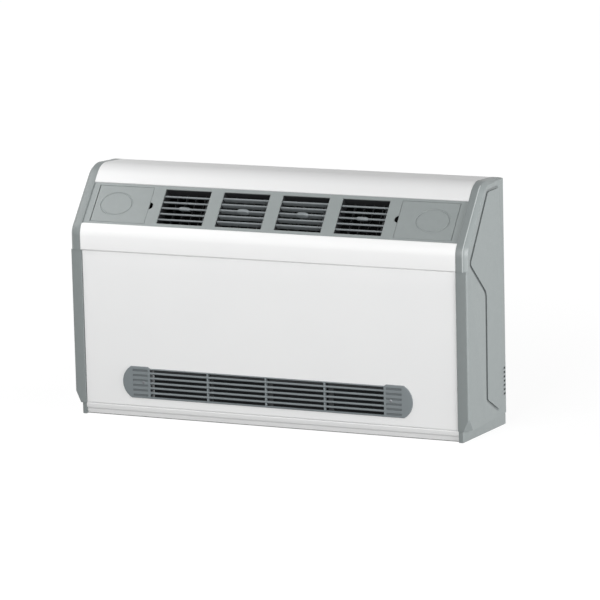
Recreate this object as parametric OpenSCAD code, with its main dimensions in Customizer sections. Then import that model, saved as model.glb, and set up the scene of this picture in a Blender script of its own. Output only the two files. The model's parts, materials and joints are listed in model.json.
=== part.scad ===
// Fan coil unit: floor-standing cabinet with a sloped outlet deck and a low inlet grille.
// Frame: X across, Y from the front to the wall, Z up, origin on the floor below the cabinet's centre.
// Slope frame: X across, T up the slope from the kink of the front, N out of the slope.

/* [Cabinet] */
// Overall width over both end caps
cabinet_w = 1000; // [980:5:1060]
// Overall depth from the front band to the wall
cabinet_d = 223; // [221:1:232]
// Overall height to the crest of the top rail
cabinet_h = 578; // [574:1:590]
// Drop from the crest to the kink where the upright front turns into the slope
crest_drop = 137.5; // [136:0.5:140]
// Lean of the outlet slope from the horizontal
slope = 50.4; // [49:0.1:52]
// Radius of the rounded crest
crest_r = 54; // [48:1:58]
// Radius of the rounded kink
kink_r = 45; // [30:1:48]
// Fall of the top towards the wall, in degrees
top_fall = 3.5; // [1:0.5:5]

/* [End caps] */
// Width of one end cap
cap_w = 27; // [25:1:30]
// Width of the bevel round the outer face of a cap
cap_bevel_w = 11; // [6:1:13]
// Inset of the outer face from the cap's outline
cap_bevel_d = 9; // [5:1:12]
// Inset of the outer face at the wall end of the top
cap_bevel_end = 1.5; // [1:0.5:4]
// Thickness of the rim that meets the cabinet
cap_rim = 7; // [5:0.5:9]
// Thickness of the outer wall of a cap
cap_wall = 5; // [4.5:0.5:6]
// Set-back of the lower front strip behind the band
cap_step = 1.5; // [0.5:0.5:3]
// Extra width of the lower front strip, over the panel's edge
cap_lip = 1; // [0.5:0.5:3]
// Depth of the lower corner post
post_d = 14; // [13:0.5:15]
// Bevel on the lower front corner
corner_bevel = 3; // [2:0.5:5]
// Width of the slanted facet under the lower front corner
facet_w = 14; // [10:1:18]
// Depth of the slanted facet under the lower front corner
facet_d = 22; // [16:1:26]
// Height of the slanted facet under the lower front corner
facet_h = 32; // [24:1:36]
// Width of the foot under a cap at its front end
foot_w = 11; // [9:1:16]
// Width of the foot under a cap at the wall
foot_wall_w = 26; // [18:1:26]
// Height of the foot under a cap
foot_h = 27; // [24:0.5:27]
// Set-back of the foot's front end behind the panel
foot_set = 1; // [0:0.5:4]
// Width of the groove in the outer face
groove_w = 6.5; // [4:0.5:8]
// Depth of the groove in the outer face
groove_d = 3.5; // [1:0.5:4]
// Distance of the groove from the front and from the wall
groove_in = 25.5; // [22:0.5:30]
// Radius of the groove's corners
groove_r = 14; // [9:1:16]
// Height of one slot in the comb at the wall edge
comb_h = 5; // [3:0.5:6]
// Spacing of the slots in the comb
comb_pitch = 10; // [9:0.5:11]
// Length of the slots in the comb
comb_l = 22.5; // [15:0.5:28]
// Distance of the comb's slots from the wall
comb_in = 1.5; // [1:0.5:3]
// Height of the lowest slot of the comb
comb_z = 70; // [66:1:80]

/* [Rails and base] */
// Thickness of the rails' sheet
rail_t = 2; // [1.5:0.1:2.5]
// Depth of the rails' turned lips
rail_lip = 12; // [10:0.5:13]
// Drop from the kink to the lower edge of the front band
band_drop = 48.5; // [46:0.5:52]
// Reach of the front band up the slope
band_reach = 19.5; // [18:0.5:21]
// Depth of the top rail's hem down the wall
top_hem = 14; // [10:1:16]
// Height of the base rail
base_h = 27.5; // [26:0.5:30]
// Height of the line where the base rail steps back
base_line = 16; // [13:1:18]
// Set-back of the base rail's toe
base_toe = 8; // [5:0.5:10]
// Depth of the base rail
base_d = 26; // [20:1:30]

/* [Front panel] */
// Set-back of the panel behind the band
panel_set = 4; // [3:0.5:4.5]
// Thickness of the panel's sheet
panel_t = 1.2; // [0.8:0.1:1.5]
// Depth of the panel's turned edges
panel_fold = 9; // [6:0.5:10]

/* [Inlet grille] */
// Length of the inlet grille
inlet_w = 736; // [720:2:750]
// Height of the inlet grille
inlet_h = 75; // [72:1:78]
// Distance of the grille's centre from the cabinet's centre line, negative to the left
inlet_x = -5.5; // [-8:0.5:8]
// Height of the grille's centre line
inlet_z = 85.5; // [82:0.5:90]
// Bulge of the grille's round ends
inlet_bulge = 22; // [16:1:28]
// Thickness of the grille's flange in front of the panel
inlet_proud = 2.5; // [1.5:0.5:3]
// Overlap of the flange on the panel
inlet_overlap = 4; // [3:0.5:4.5]
// Depth of the grille's collar behind the panel's face
collar_d = 9.5; // [6:0.5:10]
// Wall of the collar
collar_t = 2; // [1.5:0.5:2.5]
// Length of the slotted field
slot_field_w = 594; // [570:2:600]
// Height of the slotted field
slot_field_h = 63; // [58:1:63]
// Height of one slat
slat_h = 5; // [3.5:0.1:5.5]
// Depth of one slat
slat_d = 9; // [6:0.5:10]
// Fall of a slat towards the inside
slat_fall = 1.5; // [0:0.5:3]
// Width of the upright ribs
rib_w = 4; // [3:0.5:6]
// Length of the blind grooves beside the slotted field
blind_l = 38; // [30:1:42]
// Height of the blind grooves
blind_h = 3; // [2:0.2:4]
// Depth of the blind grooves
blind_d = 1.4; // [0.5:0.1:1.5]
// Distance of the blind grooves from the slotted field
blind_off = 6; // [4:0.5:8]
// Distance of the grille screws from the slotted field
screw_off = 17; // [12:1:22]
// Radius of the grille screws' heads
screw_head_r = 3.6; // [3:0.1:4]
// Height of the grille screws' heads
screw_head_h = 1.1; // [0.9:0.1:1.2]

/* [Filter] */
// Height of the filter's lower edge
filter_low = 32; // [32:0.5:34]
// Height of the filter's top edge
filter_top = 190; // [170:1:196]
// Room between the grille's collar and the filter
filter_room = 3.5; // [3:0.1:5]
// Thickness of the filter frame
filter_t = 8; // [7:0.5:8]
// Width of the filter frame's bars
filter_bar = 12; // [8:1:15]
// Depth of the rebate that holds the mesh in the frame's edges
mesh_in = 4; // [3:0.5:5]
// Thickness of the filter mesh
mesh_t = 1.6; // [1.2:0.1:1.8]

/* [Outlet deck] */
// Length of the deck up the slope
deck_l = 109.6; // [108:0.2:112]
// Set-back of the deck behind the rails
deck_set = 3; // [2:0.5:4]
// Thickness of the deck
deck_t = 3; // [2.5:0.5:3.5]
// Depth of the skirts along the deck's long edges
skirt_d = 5; // [3:0.5:6]
// Thickness of the skirts
skirt_t = 2.5; // [2:0.5:3]
// Width of one vent window
vent_w = 118; // [112:1:122]
// Length of one vent window up the slope
vent_l = 92; // [88:1:94]
// Spacing of the vents
vent_pitch = 150; // [146:1:152]

/* [Louvres] */
// Wall of the vent frames
frame_wall = 4; // [3.5:0.5:5]
// Depth of the vent frames below the deck
frame_d = 30; // [28:1:34]
// Thickness of the fixed upright fins
fin_t = 1.5; // [1:0.1:2]
// Depth of the fixed upright fins
fin_d = 10; // [6:1:11]
// Length of a blade from nose to tail
blade_chord = 15; // [14.5:0.5:15.5]
// Radius of a blade's nose
nose_r = 2.2; // [1.8:0.1:2.4]
// Radius of a blade's tail
tail_r = 0.9; // [0.7:0.1:1.1]
// Gap between a blade's end and the vent's wall
blade_play = 0.6; // [0.4:0.1:0.8]
// Depth of the blades' pivots below the deck's face
pivot_depth = 10; // [9:0.5:11]
// Radius of the blades' pivots
pivot_r = 1.5; // [1.2:0.1:1.7]
// Throw of the cranks that the links drive
crank_throw = 6; // [5.5:0.1:6.2]
// Radius of the crank pins
crank_r = 1; // [0.8:0.1:1.1]
// Width of a link
link_w = 4.6; // [4:0.2:5]
// Thickness of a link
link_t = 2.4; // [2:0.2:3]
// Room beside a link in the blades' notches
link_room = 0.5; // [0.4:0.1:0.8]
// Distance of a link from the vent's right-hand wall
link_in = 10; // [8:0.5:12]
// Width of the finger tab on the middle blade
tab_w = 28; // [20:1:34]
// Reach of the finger tab past the blade's nose
tab_reach = 3.4; // [2:0.2:4]
// Reach of the finger tab behind the blade's pivot
tab_back = 3; // [0:0.5:3.5]
// Height of the tab's corners above the nose
tab_corner = 0.7; // [0.4:0.1:1.2]
// Thickness of the finger tab
tab_t = 7; // [4:0.2:7]
// Tilt of the outer vents' blades from square to the deck, as photographed
tilt_outer = 18; // [12:1:30]
// Tilt of the inner vents' blades from square to the deck, as photographed
tilt_inner = -8; // [-16:1:4]

/* [Doors] */
// Width of the deck between the last vent and a door
door_post = 30; // [29:0.5:31]
// Width of the deck between a door and the end cap
door_margin = 17; // [16:0.5:20]
// Length of a door opening up the slope
door_l = 97; // [94:0.5:98]
// Radius of the finger notch beside a door
notch_r = 9; // [7:0.5:11]
// Radius of the hinge pins
hinge_r = 1.25; // [1:0.05:1.4]
// Radius of the barrel along a door's hinged edge
barrel_r = 2.7; // [2.5:0.1:3]
// Length of the hinge lugs up the slope
lug_l = 5; // [4:0.5:6]
// Half length of the oval line across, as a share of the door's width
oval_share = 0.296; // [0.25:0.002:0.32]
// Place of the oval line's centre, as a share of the door's width
oval_place = 0.606; // [0.55:0.002:0.63]
// Half length of the oval line on a door, up the slope
oval_t = 31; // [26:1:36]
// Width of the oval line
oval_w = 3; // [1.5:0.1:3.5]
// Depth of the oval line
oval_d = 1.2; // [0.4:0.1:1.4]

/* [Chassis] */
// Thickness of the chassis sheet
sheet_t = 1.5; // [1.2:0.1:2]
// Distance of the gable plates inside the doors' inner edges
gable_in = 2; // [1.5:0.1:3]
// Drop of the gable plates' upper edge below the slope
gable_drop = 16; // [15:0.5:18]
// Spacing of the wall holes across
wall_dx = 800; // [780:5:820]
// Height of the lower wall holes
wall_z = 200; // [190:1:220]
// Drop of the upper wall holes below the crest
wall_drop = 38; // [32:1:44]
// Radius of the wall holes
wall_r = 4.5; // [3.5:0.1:5.5]
// Width of the pipe and cable cut-outs at the wall
pipe_cut_w = 90; // [70:1:100]
// Height of the pipe and cable cut-outs at the wall
pipe_cut_h = 110; // [90:1:120]
// Height of the lower edge of the cut-outs at the wall
pipe_cut_z = 30; // [26:1:36]
// Depth of the chassis' floor flange
floor_d = 70; // [60:1:80]
// Depth of the chassis' side flanges
flange_d = 30; // [24:1:34]

/* [Coil] */
// Distance of the coil's centre behind the cabinet's centre
coil_y = 18; // [16:0.5:20]
// Rise of the coil's centre above the middle between the drain pan and the kink
coil_rise = 12.5; // [10:0.5:14]
// Height that the rows of tubes leave free between the drain pan and the kink
coil_room = 55; // [50:1:60]
// Lean of the coil from the vertical
coil_lean = 30; // [28:0.5:31]
// Radius of the coil's tubes
tube_r = 4.76; // [4:0.02:5]
// Spacing of the tubes along the coil
tube_pitch = 25; // [24:0.1:25.4]
// Spacing of the two rows of tubes
row_pitch = 22; // [21.5:0.1:24]
// Spacing of the modelled fins
fin_pitch = 14; // [12:0.5:20]
// Thickness of the modelled fins
fin_sheet = 0.5; // [0.3:0.1:1]
// Length of the tubes outside the gable plates
tube_over = 4; // [3:0.5:5]
// Distance of the headers from the tubes' ends
header_off = 28; // [26:0.5:30]
// Length of the headers past the outer stubs
header_over = 14; // [12:0.5:15]
// Radius of the headers
header_r = 8.2; // [7.5:0.1:8.4]
// Thread core radius of the water sockets
socket_r = 9.3; // [9:0.1:9.6]
// Outer radius of the water sockets
socket_out_r = 12.8; // [12:0.1:13]
// Depth of the threaded part of the water sockets
socket_l = 16; // [14:0.5:18]
// Distance of the water sockets from the headers
socket_off = 12; // [11:0.5:14]

/* [Drain pan] */
// Distance of the pan's front wall behind the cabinet's centre
pan_y = 36; // [34:0.5:37]
// Height of the pan's front wall
pan_h = 32; // [24:1:34]
// Thickness of the pan
pan_t = 1.5; // [1.2:0.1:2]
// Outer radius of the drain spigot
spigot_r = 8; // [7.5:0.1:9]
// Bore radius of the drain spigot
spigot_bore = 6; // [5:0.1:6.5]
// Length of the drain spigot outside the gable
spigot_l = 36; // [30:1:42]
// Distance of the drain spigot behind the pan's front wall
spigot_back = 40; // [30:1:50]
// Radial room in the gable for the hose round the spigot
hose_room = 6; // [5:0.5:8]

/* [Fans] */
// Distance of the shaft behind the cabinet's centre
fan_y = 15; // [14:0.5:17]
// Height of the shaft
fan_z = 112; // [110:1:114]
// Distance of each fan from the centre line
fan_x = 172; // [170:1:175]
// Radius of the fan wheels
wheel_r = 60; // [57:0.5:61]
// Width of the fan wheels
wheel_w = 172; // [160:1:176]
// Depth of the wheel blades
wheel_blade = 13; // [10:0.5:15]
// Blades on one half of a wheel
wheel_blades = 24; // [18:1:28]
// Width of the scroll housings
scroll_w = 198; // [192:1:200]
// Radius of the scroll at its tongue
scroll_r = 66; // [65:0.5:67]
// Growth of the scroll's radius over three quarters of a turn
scroll_grow = 24; // [22:0.5:25]
// Radius of the scroll's air inlets
eye_r = 48; // [44:0.5:52]
// Width of the scroll's outlet, front to back
outlet_d = 86; // [80:1:88]
// Height of the fan deck
fan_deck_z = 205; // [203:1:207]
// Height of the fan deck's flanges
fan_flange = 12; // [10:0.5:14]
// Radius of the fan shaft
shaft_r = 5; // [4:0.1:6]

/* [Motor] */
// Radius of the motor
motor_r = 46; // [42:0.5:48]
// Length of the motor's body
motor_l = 100; // [96:1:102]
// Radius of the bosses on the motor's ends
boss_r = 14; // [13.5:0.1:15]
// Length of the bosses on the motor's ends
boss_l = 10; // [9:0.5:10]
// Outer radius of the rubber mounts
rubber_r = 22; // [20:0.5:24]
// Outer radius of the shaft bearings
bearing_r = 11; // [10:0.1:12]
// Length of the shaft bearings
bearing_l = 8; // [6:0.5:8]

/* [Controls] */
// Depth of the control tray
tray_d = 18; // [16:0.5:20]
// Inset of the control tray from a door's two ends
tray_in = 6; // [5:0.5:8]
// Drop of the control tray's rim below the deck's face
tray_drop = 9; // [8.5:0.5:11]
// Wall of the control tray
tray_t = 2; // [1.6:0.1:2.4]
// Radius of the knobs
knob_r = 15; // [12:0.5:17]
// Height of the knobs
knob_h = 10; // [8:0.5:11]
// Radius of the knobs' spindles
spindle_r = 3; // [2.5:0.1:3.5]
// Depth of the knobs' spindles below the tray
spindle_d = 10; // [8:0.5:11]
// Length by which the knobs' spacing falls short of half the tray
knob_in = 9; // [7:0.5:12]
// Distance of the knobs' middle from the tray's middle, towards the vents
knob_shift = 4; // [3:0.5:6]

/* [Fits] */
// Radial clearance of turning fits
run_gap = 0.06; // [0.04:0.01:0.1]
// Gap between pieces that sit against each other
seat_gap = 0.2; // [0.1:0.05:0.3]
// Radial gap of pieces that are pressed together
press_gap = 0.02; // [0.01:0.01:0.03]
// Radial gap round the rubber mounts
mount_gap = 0.1; // [0.05:0.05:0.2]
// Gap round the doors
door_gap = 0.6; // [0.5:0.1:1]
// Gap at the hinged edge of a door
hinge_gap = 0.8; // [0.6:0.1:1]

/* [Hidden] */
$fn = 48;
// Overshoot of cutting solids past the faces that they cut
past = 1;
// Overlap of solids that are joined into one moulding
root = 0.5;
vents = 4;
blades = 5;
slots = 6;
comb_slots = 7;
kink_h = cabinet_h - crest_drop;
band_h = kink_h - band_drop;
front_y = -cabinet_d / 2;
back_y = cabinet_d / 2;
cap_x = cabinet_w / 2 - cap_w;
slope_u = [cos(slope), sin(slope)];
slope_n = [-sin(slope), cos(slope)];
kink = [front_y, kink_h];
kink_c = [front_y + kink_r, kink_h - kink_r * tan((90 - slope) / 2)];
crest_rise = cabinet_h - crest_r - kink_h;
crest_c = [front_y + (crest_r + crest_rise * cos(slope)) / sin(slope), cabinet_h - crest_r];
deck_lo = band_reach;
deck_hi = band_reach + deck_l;
deck_mid = (deck_lo + deck_hi) / 2;
deck_n = -deck_set;
under_n = -deck_set - deck_t;
panel_y = front_y + panel_set;
panel_x = cap_x - cap_lip - seat_gap;
pivot_n = deck_n - pivot_depth;
blade_pitch = vent_l / (blades + 1);
blade_l = vent_w - 2 * blade_play;
door_in = (vents - 1) / 2 * vent_pitch + vent_w / 2 + door_post;
door_w = cap_x - door_margin - door_in;
gable_x = door_in - gable_in;
wall_dz = cabinet_h - wall_drop - wall_z;
hinge_x = door_in + door_w - barrel_r;
hinge_n = deck_n - barrel_r;
pan_z = fan_deck_z + sheet_t;
coil_z = (pan_z + kink_h) / 2 + coil_rise;
tubes = 2 * round((kink_h - pan_z - coil_room) / (2 * tube_pitch * cos(coil_lean)));
tube_end = gable_x + sheet_t + tube_over;
header_x = tube_end + header_off;
socket_x = header_x + socket_off;
scroll_max = scroll_r + scroll_grow;
outlet_front = fan_y - scroll_max;
spigot_y = pan_y + spigot_back;
spigot_z = pan_z + pan_t + spigot_r;
filter_front = panel_y + collar_d + filter_room;
filter_half = gable_x - 2 * seat_gap;
tray_n = deck_n - tray_drop;
tray_x = gable_x + sheet_t + seat_gap;
tray_w = door_w - 2 * tray_in;
knob_n = tray_n - tray_d + tray_t + seat_gap;
knob_mid = tray_x + tray_w / 2 - knob_shift;
knob_pitch = tray_w / 2 - knob_in;

// Points along an arc
function arc(c, r, a0, a1, n) =
  [for (i = [0:n]) let (a = a0 + (a1 - a0) * i / n) c + r * [cos(a), sin(a)]];
// A point of the side view, given in the slope frame
function on_slope_line(t, n) = kink + t * slope_u + n * slope_n;
// Height of the top's sloping stretch at a depth, for a skin set in by d
function top_z(y, d) =
  let (r = crest_r - d)
  crest_c[1] + r * cos(top_fall) - (y - crest_c[0] - r * sin(top_fall)) * tan(top_fall);
// The rounded kink and the rounded crest of the side view, set in by d
function kink_arc(d) = arc(kink_c, kink_r - d, 180, 90 + slope, 10);
function crest_arc(d) = arc(crest_c, crest_r - d, 90 + slope, 90 - top_fall, 14);
// The list in reverse order
function backwards(list) = [for (i = [len(list) - 1:-1:0]) list[i]];
// The cabinet's side view, set in by d in front and on top, and by e at the wall
function side_view(d, e, low) = concat(
  [[front_y + d, low]], kink_arc(d), crest_arc(d),
  [[back_y - e, top_z(back_y - e, d)], [back_y - e, low]]
);

// Draws a side view as a solid from x0 to x1
module across(x0, x1) {
  translate([x0, 0, 0]) rotate([90, 0, 90]) linear_extrude(x1 - x0) children();
}

// Places children in the slope frame
module on_slope() {
  translate([0, front_y, kink_h]) rotate([slope, 0, 0]) children();
}

// A box from one corner to the other
module box(a, b) {
  translate(a) cube(b - a);
}

// A cylinder along X
module rod(x0, x1, r) {
  translate([x0, 0, 0]) rotate([0, 90, 0]) cylinder(h = x1 - x0, r = r);
}

// Two copies, one mirrored to the left
module both_sides() {
  children();
  mirror([1, 0, 0]) children();
}

// Chassis: the sheet that hangs on the wall, with its folded edges
module chassis_back() {
  top = top_z(back_y, 0) - top_hem;
  cut_front = 10;
  cut_back = 16;
  color("silver") difference() {
    union() {
      box([-cap_x, back_y - sheet_t, 0], [cap_x, back_y, top]);
      box([-cap_x, back_y - floor_d, 0], [cap_x, back_y, sheet_t]);
      both_sides() box([cap_x - sheet_t, back_y - flange_d, 0], [cap_x, back_y, top]);
    }
    for (x = [-1, 1], z = [0, 1]) translate([x * wall_dx / 2, back_y + past, wall_z + z * wall_dz])
      rotate([90, 0, 0]) cylinder(h = sheet_t + 2 * past, r = wall_r);
    both_sides() {
      left = (gable_x + cap_x - pipe_cut_w) / 2;
      right = left + pipe_cut_w;
      box([left, back_y - sheet_t - past, pipe_cut_z], [right, back_y + past, pipe_cut_z + pipe_cut_h]);
      box([left, back_y - floor_d + cut_front, -past], [right, back_y - cut_back, sheet_t + past]);
    }
  }
}

// Gable plate: carries the coil and the fan deck, with the filter's channel on its front edge
module gable() {
  lip = 14;
  shelf = 4;
  lap = 1;
  hole_y = row_pitch / 2 + 9;
  hole_z = tubes / 2 * tube_pitch - 4;
  front = filter_front - sheet_t - seat_gap;
  t_front = (front - front_y - gable_drop * sin(slope)) / cos(slope);
  z_top = on_slope_line(deck_hi, -gable_drop)[1];
  wall = back_y - sheet_t;
  rail_top = base_h + seat_gap;
  rail_back = panel_y + base_d + seat_gap;
  channel_low = filter_low - shelf;
  channel_back = filter_front + filter_t + seat_gap;
  difference() {
    union() {
      across(gable_x, gable_x + sheet_t) polygon([
        [front, rail_top], [rail_back, rail_top], [rail_back, sheet_t], [wall, sheet_t], [wall, z_top],
        on_slope_line(deck_hi, -gable_drop), on_slope_line(t_front, -gable_drop)
      ]);
      box([gable_x - lip, front, channel_low], [gable_x + lap, front + sheet_t, filter_top]);
      box([gable_x - lip, channel_back, channel_low], [gable_x + lap, channel_back + sheet_t, filter_top]);
      box([gable_x - lip, front, channel_low],
          [gable_x + lap, channel_back + sheet_t, filter_low - seat_gap]);
    }
    in_coil() box([gable_x - past, -hole_y, -hole_z], [gable_x + sheet_t + past, hole_y, hole_z]);
  }
}

module right_gable() {
  color("silver") gable();
}

module left_gable() {
  color("silver") difference() {
    mirror([1, 0, 0]) gable();
    translate([-gable_x, spigot_y, spigot_z]) rod(-sheet_t - past, past, spigot_r + hose_room);
  }
}

// Front panel: folded sheet with the opening for the inlet grille
module front_panel() {
  low = base_h + seat_gap;
  high = band_h - seat_gap;
  color("whitesmoke") difference() {
    box([-panel_x, panel_y, low], [panel_x, panel_y + panel_fold, high]);
    box([-panel_x + panel_t, panel_y + panel_t, low + panel_t],
        [panel_x - panel_t, panel_y + panel_fold + past, high - panel_t]);
    inlet_solid(inlet_overlap, panel_y - past, panel_y + panel_t + past);
  }
}

// Outline of the inlet grille, set in by d: a long field with bowed ends
function inlet_outline(d) =
  let (h = inlet_h / 2 - d, bow = inlet_bulge * h / (inlet_h / 2), r = (h * h + bow * bow) / (2 * bow))
  let (a = asin(h / r), x = inlet_w / 2 - d - r)
  concat(arc([inlet_x + x, inlet_z], r, -a, a, 16), arc([inlet_x - x, inlet_z], r, 180 - a, 180 + a, 16));

// The inlet outline as a solid from the depth y0 to y1
module inlet_solid(d, y0, y1) {
  translate([0, y1, 0]) rotate([90, 0, 0]) linear_extrude(y1 - y0) polygon(inlet_outline(d));
}

// Inlet grille: flange, collar, inclined slats, ribs and blind grooves
module inlet_grille() {
  face = panel_y - inlet_proud;
  back = panel_y + collar_d;
  half = slot_field_w / 2;
  plate_back = panel_y + 1;
  rib_set = 0.4;
  screw_seat = screw_head_h + 0.1;
  slot_pitch = slot_field_h / slots;
  field_low = inlet_z - slot_field_h / 2;
  color("slategray") {
    difference() {
      union() {
        inlet_solid(0, face, panel_y - seat_gap / 2);
        inlet_solid(inlet_overlap + seat_gap, face + root, back);
      }
      inlet_solid(inlet_overlap + collar_t, plate_back, back + past);
      translate([inlet_x, 0, 0]) {
        box([-half, face - past, field_low], [half, back + past, field_low + slot_field_h]);
        both_sides() for (i = [0:slots - 1]) {
          z = field_low + (i + 0.5) * slot_pitch;
          box([half + blind_off, face - past, z - blind_h / 2],
              [half + blind_off + blind_l, face + blind_d, z + blind_h / 2]);
        }
        both_sides() translate([half + screw_off, face - past, inlet_z]) rotate([-90, 0, 0])
          cylinder(h = past + screw_seat, r = screw_head_r + seat_gap);
      }
    }
    translate([inlet_x, 0, 0]) {
      for (i = [1:slots - 1]) slat(face, field_low + i * slot_pitch);
      for (i = [-1:1]) box([i * half / 2 - rib_w / 2, face + rib_set, field_low - root],
                           [i * half / 2 + rib_w / 2, face + slat_d, field_low + slot_field_h + root]);
    }
  }
}

// One slat: a round-nosed strip that falls towards the inside
module slat(face, z) {
  r = slat_h / 2;
  across(-slot_field_w / 2 - root, slot_field_w / 2 + root) polygon(concat(
    arc([face + r, z], r, 90, 270, 8), [[face + slat_d, z - r - slat_fall], [face + slat_d, z - slat_fall]]
  ));
}

// Grille screws: flat heads with a cross slot
module grille_screws() {
  face = panel_y - inlet_proud;
  cross_w = 0.8;
  cross_d = 0.6;
  color("gainsboro") translate([inlet_x, face, inlet_z]) both_sides()
    translate([slot_field_w / 2 + screw_off, 0, 0]) rotate([-90, 0, 0]) difference() {
      cylinder(h = screw_head_h, r = screw_head_r);
      box([-screw_head_r, -cross_w / 2, -past], [screw_head_r, cross_w / 2, cross_d]);
      box([-cross_w / 2, -screw_head_r, -past], [cross_w / 2, screw_head_r, cross_d]);
    }
}

// Filter: a frame with one upright bar in each bay, and its mesh
module filter_frame() {
  mid = (filter_low + filter_top) / 2;
  mid_bar = filter_bar / 2;
  bays = 4;
  bay = (2 * filter_half - filter_bar) / bays;
  color("dimgray") difference() {
    box([-filter_half, filter_front, filter_low], [filter_half, filter_front + filter_t, filter_top]);
    for (i = [0:bays - 1]) {
      x = -filter_half + filter_bar + i * bay;
      box([x, filter_front - past, filter_low + filter_bar],
          [x + bay - filter_bar, filter_front + filter_t + past, mid - mid_bar / 2]);
      box([x, filter_front - past, mid + mid_bar / 2],
          [x + bay - filter_bar, filter_front + filter_t + past, filter_top - filter_bar]);
    }
    mesh_room(0);
  }
}

// The mesh, or with no gap the rebate for it
module mesh_room(gap) {
  y = filter_front + filter_t / 2;
  half = filter_half - mesh_in - gap;
  t = mesh_t / 2 + seat_gap - gap;
  box([-half, y - t, filter_low + mesh_in + gap], [half, y + t, filter_top - mesh_in - gap]);
}

module filter_mesh() {
  color("lightgray") mesh_room(seat_gap);
}

// Top rail: bent sheet from the deck over the crest to the wall
module top_rail() {
  color("whitesmoke") across(-cap_x, cap_x) polygon(concat(
    [on_slope_line(deck_hi, -rail_lip), on_slope_line(deck_hi, 0)],
    crest_arc(0),
    [[back_y, top_z(back_y, 0)], [back_y, top_z(back_y, 0) - top_hem]],
    [[back_y - rail_t, top_z(back_y, 0) - top_hem], [back_y - rail_t, top_z(back_y - rail_t, rail_t)]],
    backwards(crest_arc(rail_t)),
    [on_slope_line(deck_hi + rail_t, -rail_t), on_slope_line(deck_hi + rail_t, -rail_lip)]
  ));
}

// Front band: bent sheet that takes the upright front into the slope
module front_band() {
  color("whitesmoke") across(-cap_x, cap_x) polygon(concat(
    [[front_y + rail_lip, band_h], [front_y, band_h]],
    kink_arc(0),
    [on_slope_line(deck_lo, 0), on_slope_line(deck_lo, -rail_lip)],
    [on_slope_line(deck_lo - rail_t, -rail_lip), on_slope_line(deck_lo - rail_t, -rail_t)],
    backwards(kink_arc(rail_t)),
    [[front_y + rail_t, band_h + rail_t], [front_y + rail_lip, band_h + rail_t]]
  ));
}

// Base rail: stepped channel under the panel
module base_rail() {
  toe = panel_y + base_toe;
  back = panel_y + base_d;
  lean = 2;
  step = 3;
  rise = 1;
  wall = 2.5;
  color("whitesmoke") across(-cap_x, cap_x) polygon([
    [toe, 0], [toe - lean, base_line - rise], [toe - lean - step, base_line], [panel_y, base_h],
    [back, base_h], [back, base_h - rail_t], [panel_y + step, base_h - rail_t],
    [toe - lean - step + wall, base_line + rise], [toe - lean + wall, base_line], [toe + rail_t, rail_t],
    [back, rail_t], [back, 0]
  ]);
}

// Heights of the groove's top run and of its short front run
groove_top = cabinet_h - 22;
groove_front = [kink_h - 28.5, kink_h - 38.5];
// Where the groove turns on the cap's side: behind the crest, at the waist, at the knee and at its end
groove_bend_y = 20;
groove_waist = [3, kink_h - 115.5];
groove_knee = [1, 77];
groove_foot = [70, 40];
// Corners of the groove on a cap's outer face, from the top edge to the wall's foot
groove_points = [
  [back_y - groove_in, groove_top], [groove_bend_y, groove_top],
  [front_y + groove_in, groove_front[0]], [front_y + groove_in, groove_front[1]],
  groove_waist, groove_knee, groove_foot
];

// A strip of the groove from one point to the next
module groove_run(a, b) {
  d = b - a;
  translate(a) rotate(atan2(d[1], d[0])) {
    translate([0, -groove_w / 2]) square([norm(d), groove_w]);
    circle(r = groove_w / 2);
    translate([norm(d), 0]) circle(r = groove_w / 2);
  }
}

// The groove's line with its corners cut off and rounded
module groove_line() {
  last = len(groove_points) - 1;
  eased = [
    for (i = [0:last]) each (i == 0 || i == last) ? [groove_points[i]] : ease(
      groove_points[i - 1], groove_points[i], groove_points[i + 1])
  ];
  for (i = [0:len(eased) - 2]) groove_run(eased[i], eased[i + 1]);
}

// A corner b between a and c, replaced by a short curve that starts groove_r from it, or less on a short run
function ease(a, b, c) =
  let (most = 0.45)
  let (p = b + (a - b) * min(groove_r / norm(a - b), most))
  let (q = b + (c - b) * min(groove_r / norm(c - b), most))
  [for (s = [0:0.25:1]) (1 - s) * (1 - s) * p + 2 * s * (1 - s) * b + s * s * q];

// Outline of a cap's outer face: its bevel fades out towards the wall end of the top
function cap_face() = concat(
  [[front_y + cap_bevel_d, foot_h]], kink_arc(cap_bevel_d), crest_arc(cap_bevel_d),
  [[back_y, top_z(back_y, cap_bevel_end)], [back_y, foot_h]]
);

// Plan of the foot under a cap: wider towards the wall
module foot_plan() {
  front = panel_y + foot_set;
  polygon([[cap_x, front], [cap_x + foot_w, front], [cap_x + foot_wall_w, back_y], [cap_x, back_y]]);
}

// Plan of the lower corner post
module post_plan() {
  x0 = cap_x - cap_lip;
  x1 = cabinet_w / 2;
  y0 = front_y + cap_step;
  inner_x = cap_x + 4;
  inner_y = y0 + panel_fold + 3;
  polygon([
    [x0, y0], [x1 - corner_bevel, y0], [x1, y0 + corner_bevel], [x1, y0 + post_d],
    [inner_x, y0 + post_d], [inner_x, inner_y], [x0, inner_y]
  ]);
}

// Everything outside the slanted facet under the lower front corner
module beyond_facet() {
  reach = 60;
  corner = [cabinet_w / 2, front_y + cap_step, foot_h];
  a = corner - [facet_w, 0, 0];
  b = corner + [0, facet_d, 0];
  c = corner + [0, 0, facet_h];
  out = cross(b - a, c - a) / norm(cross(b - a, c - a));
  translate(a) rotate([0, acos(out[2]), atan2(out[1], out[0])])
    box([-reach, -reach, 0], [reach, reach, reach]);
}

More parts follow.
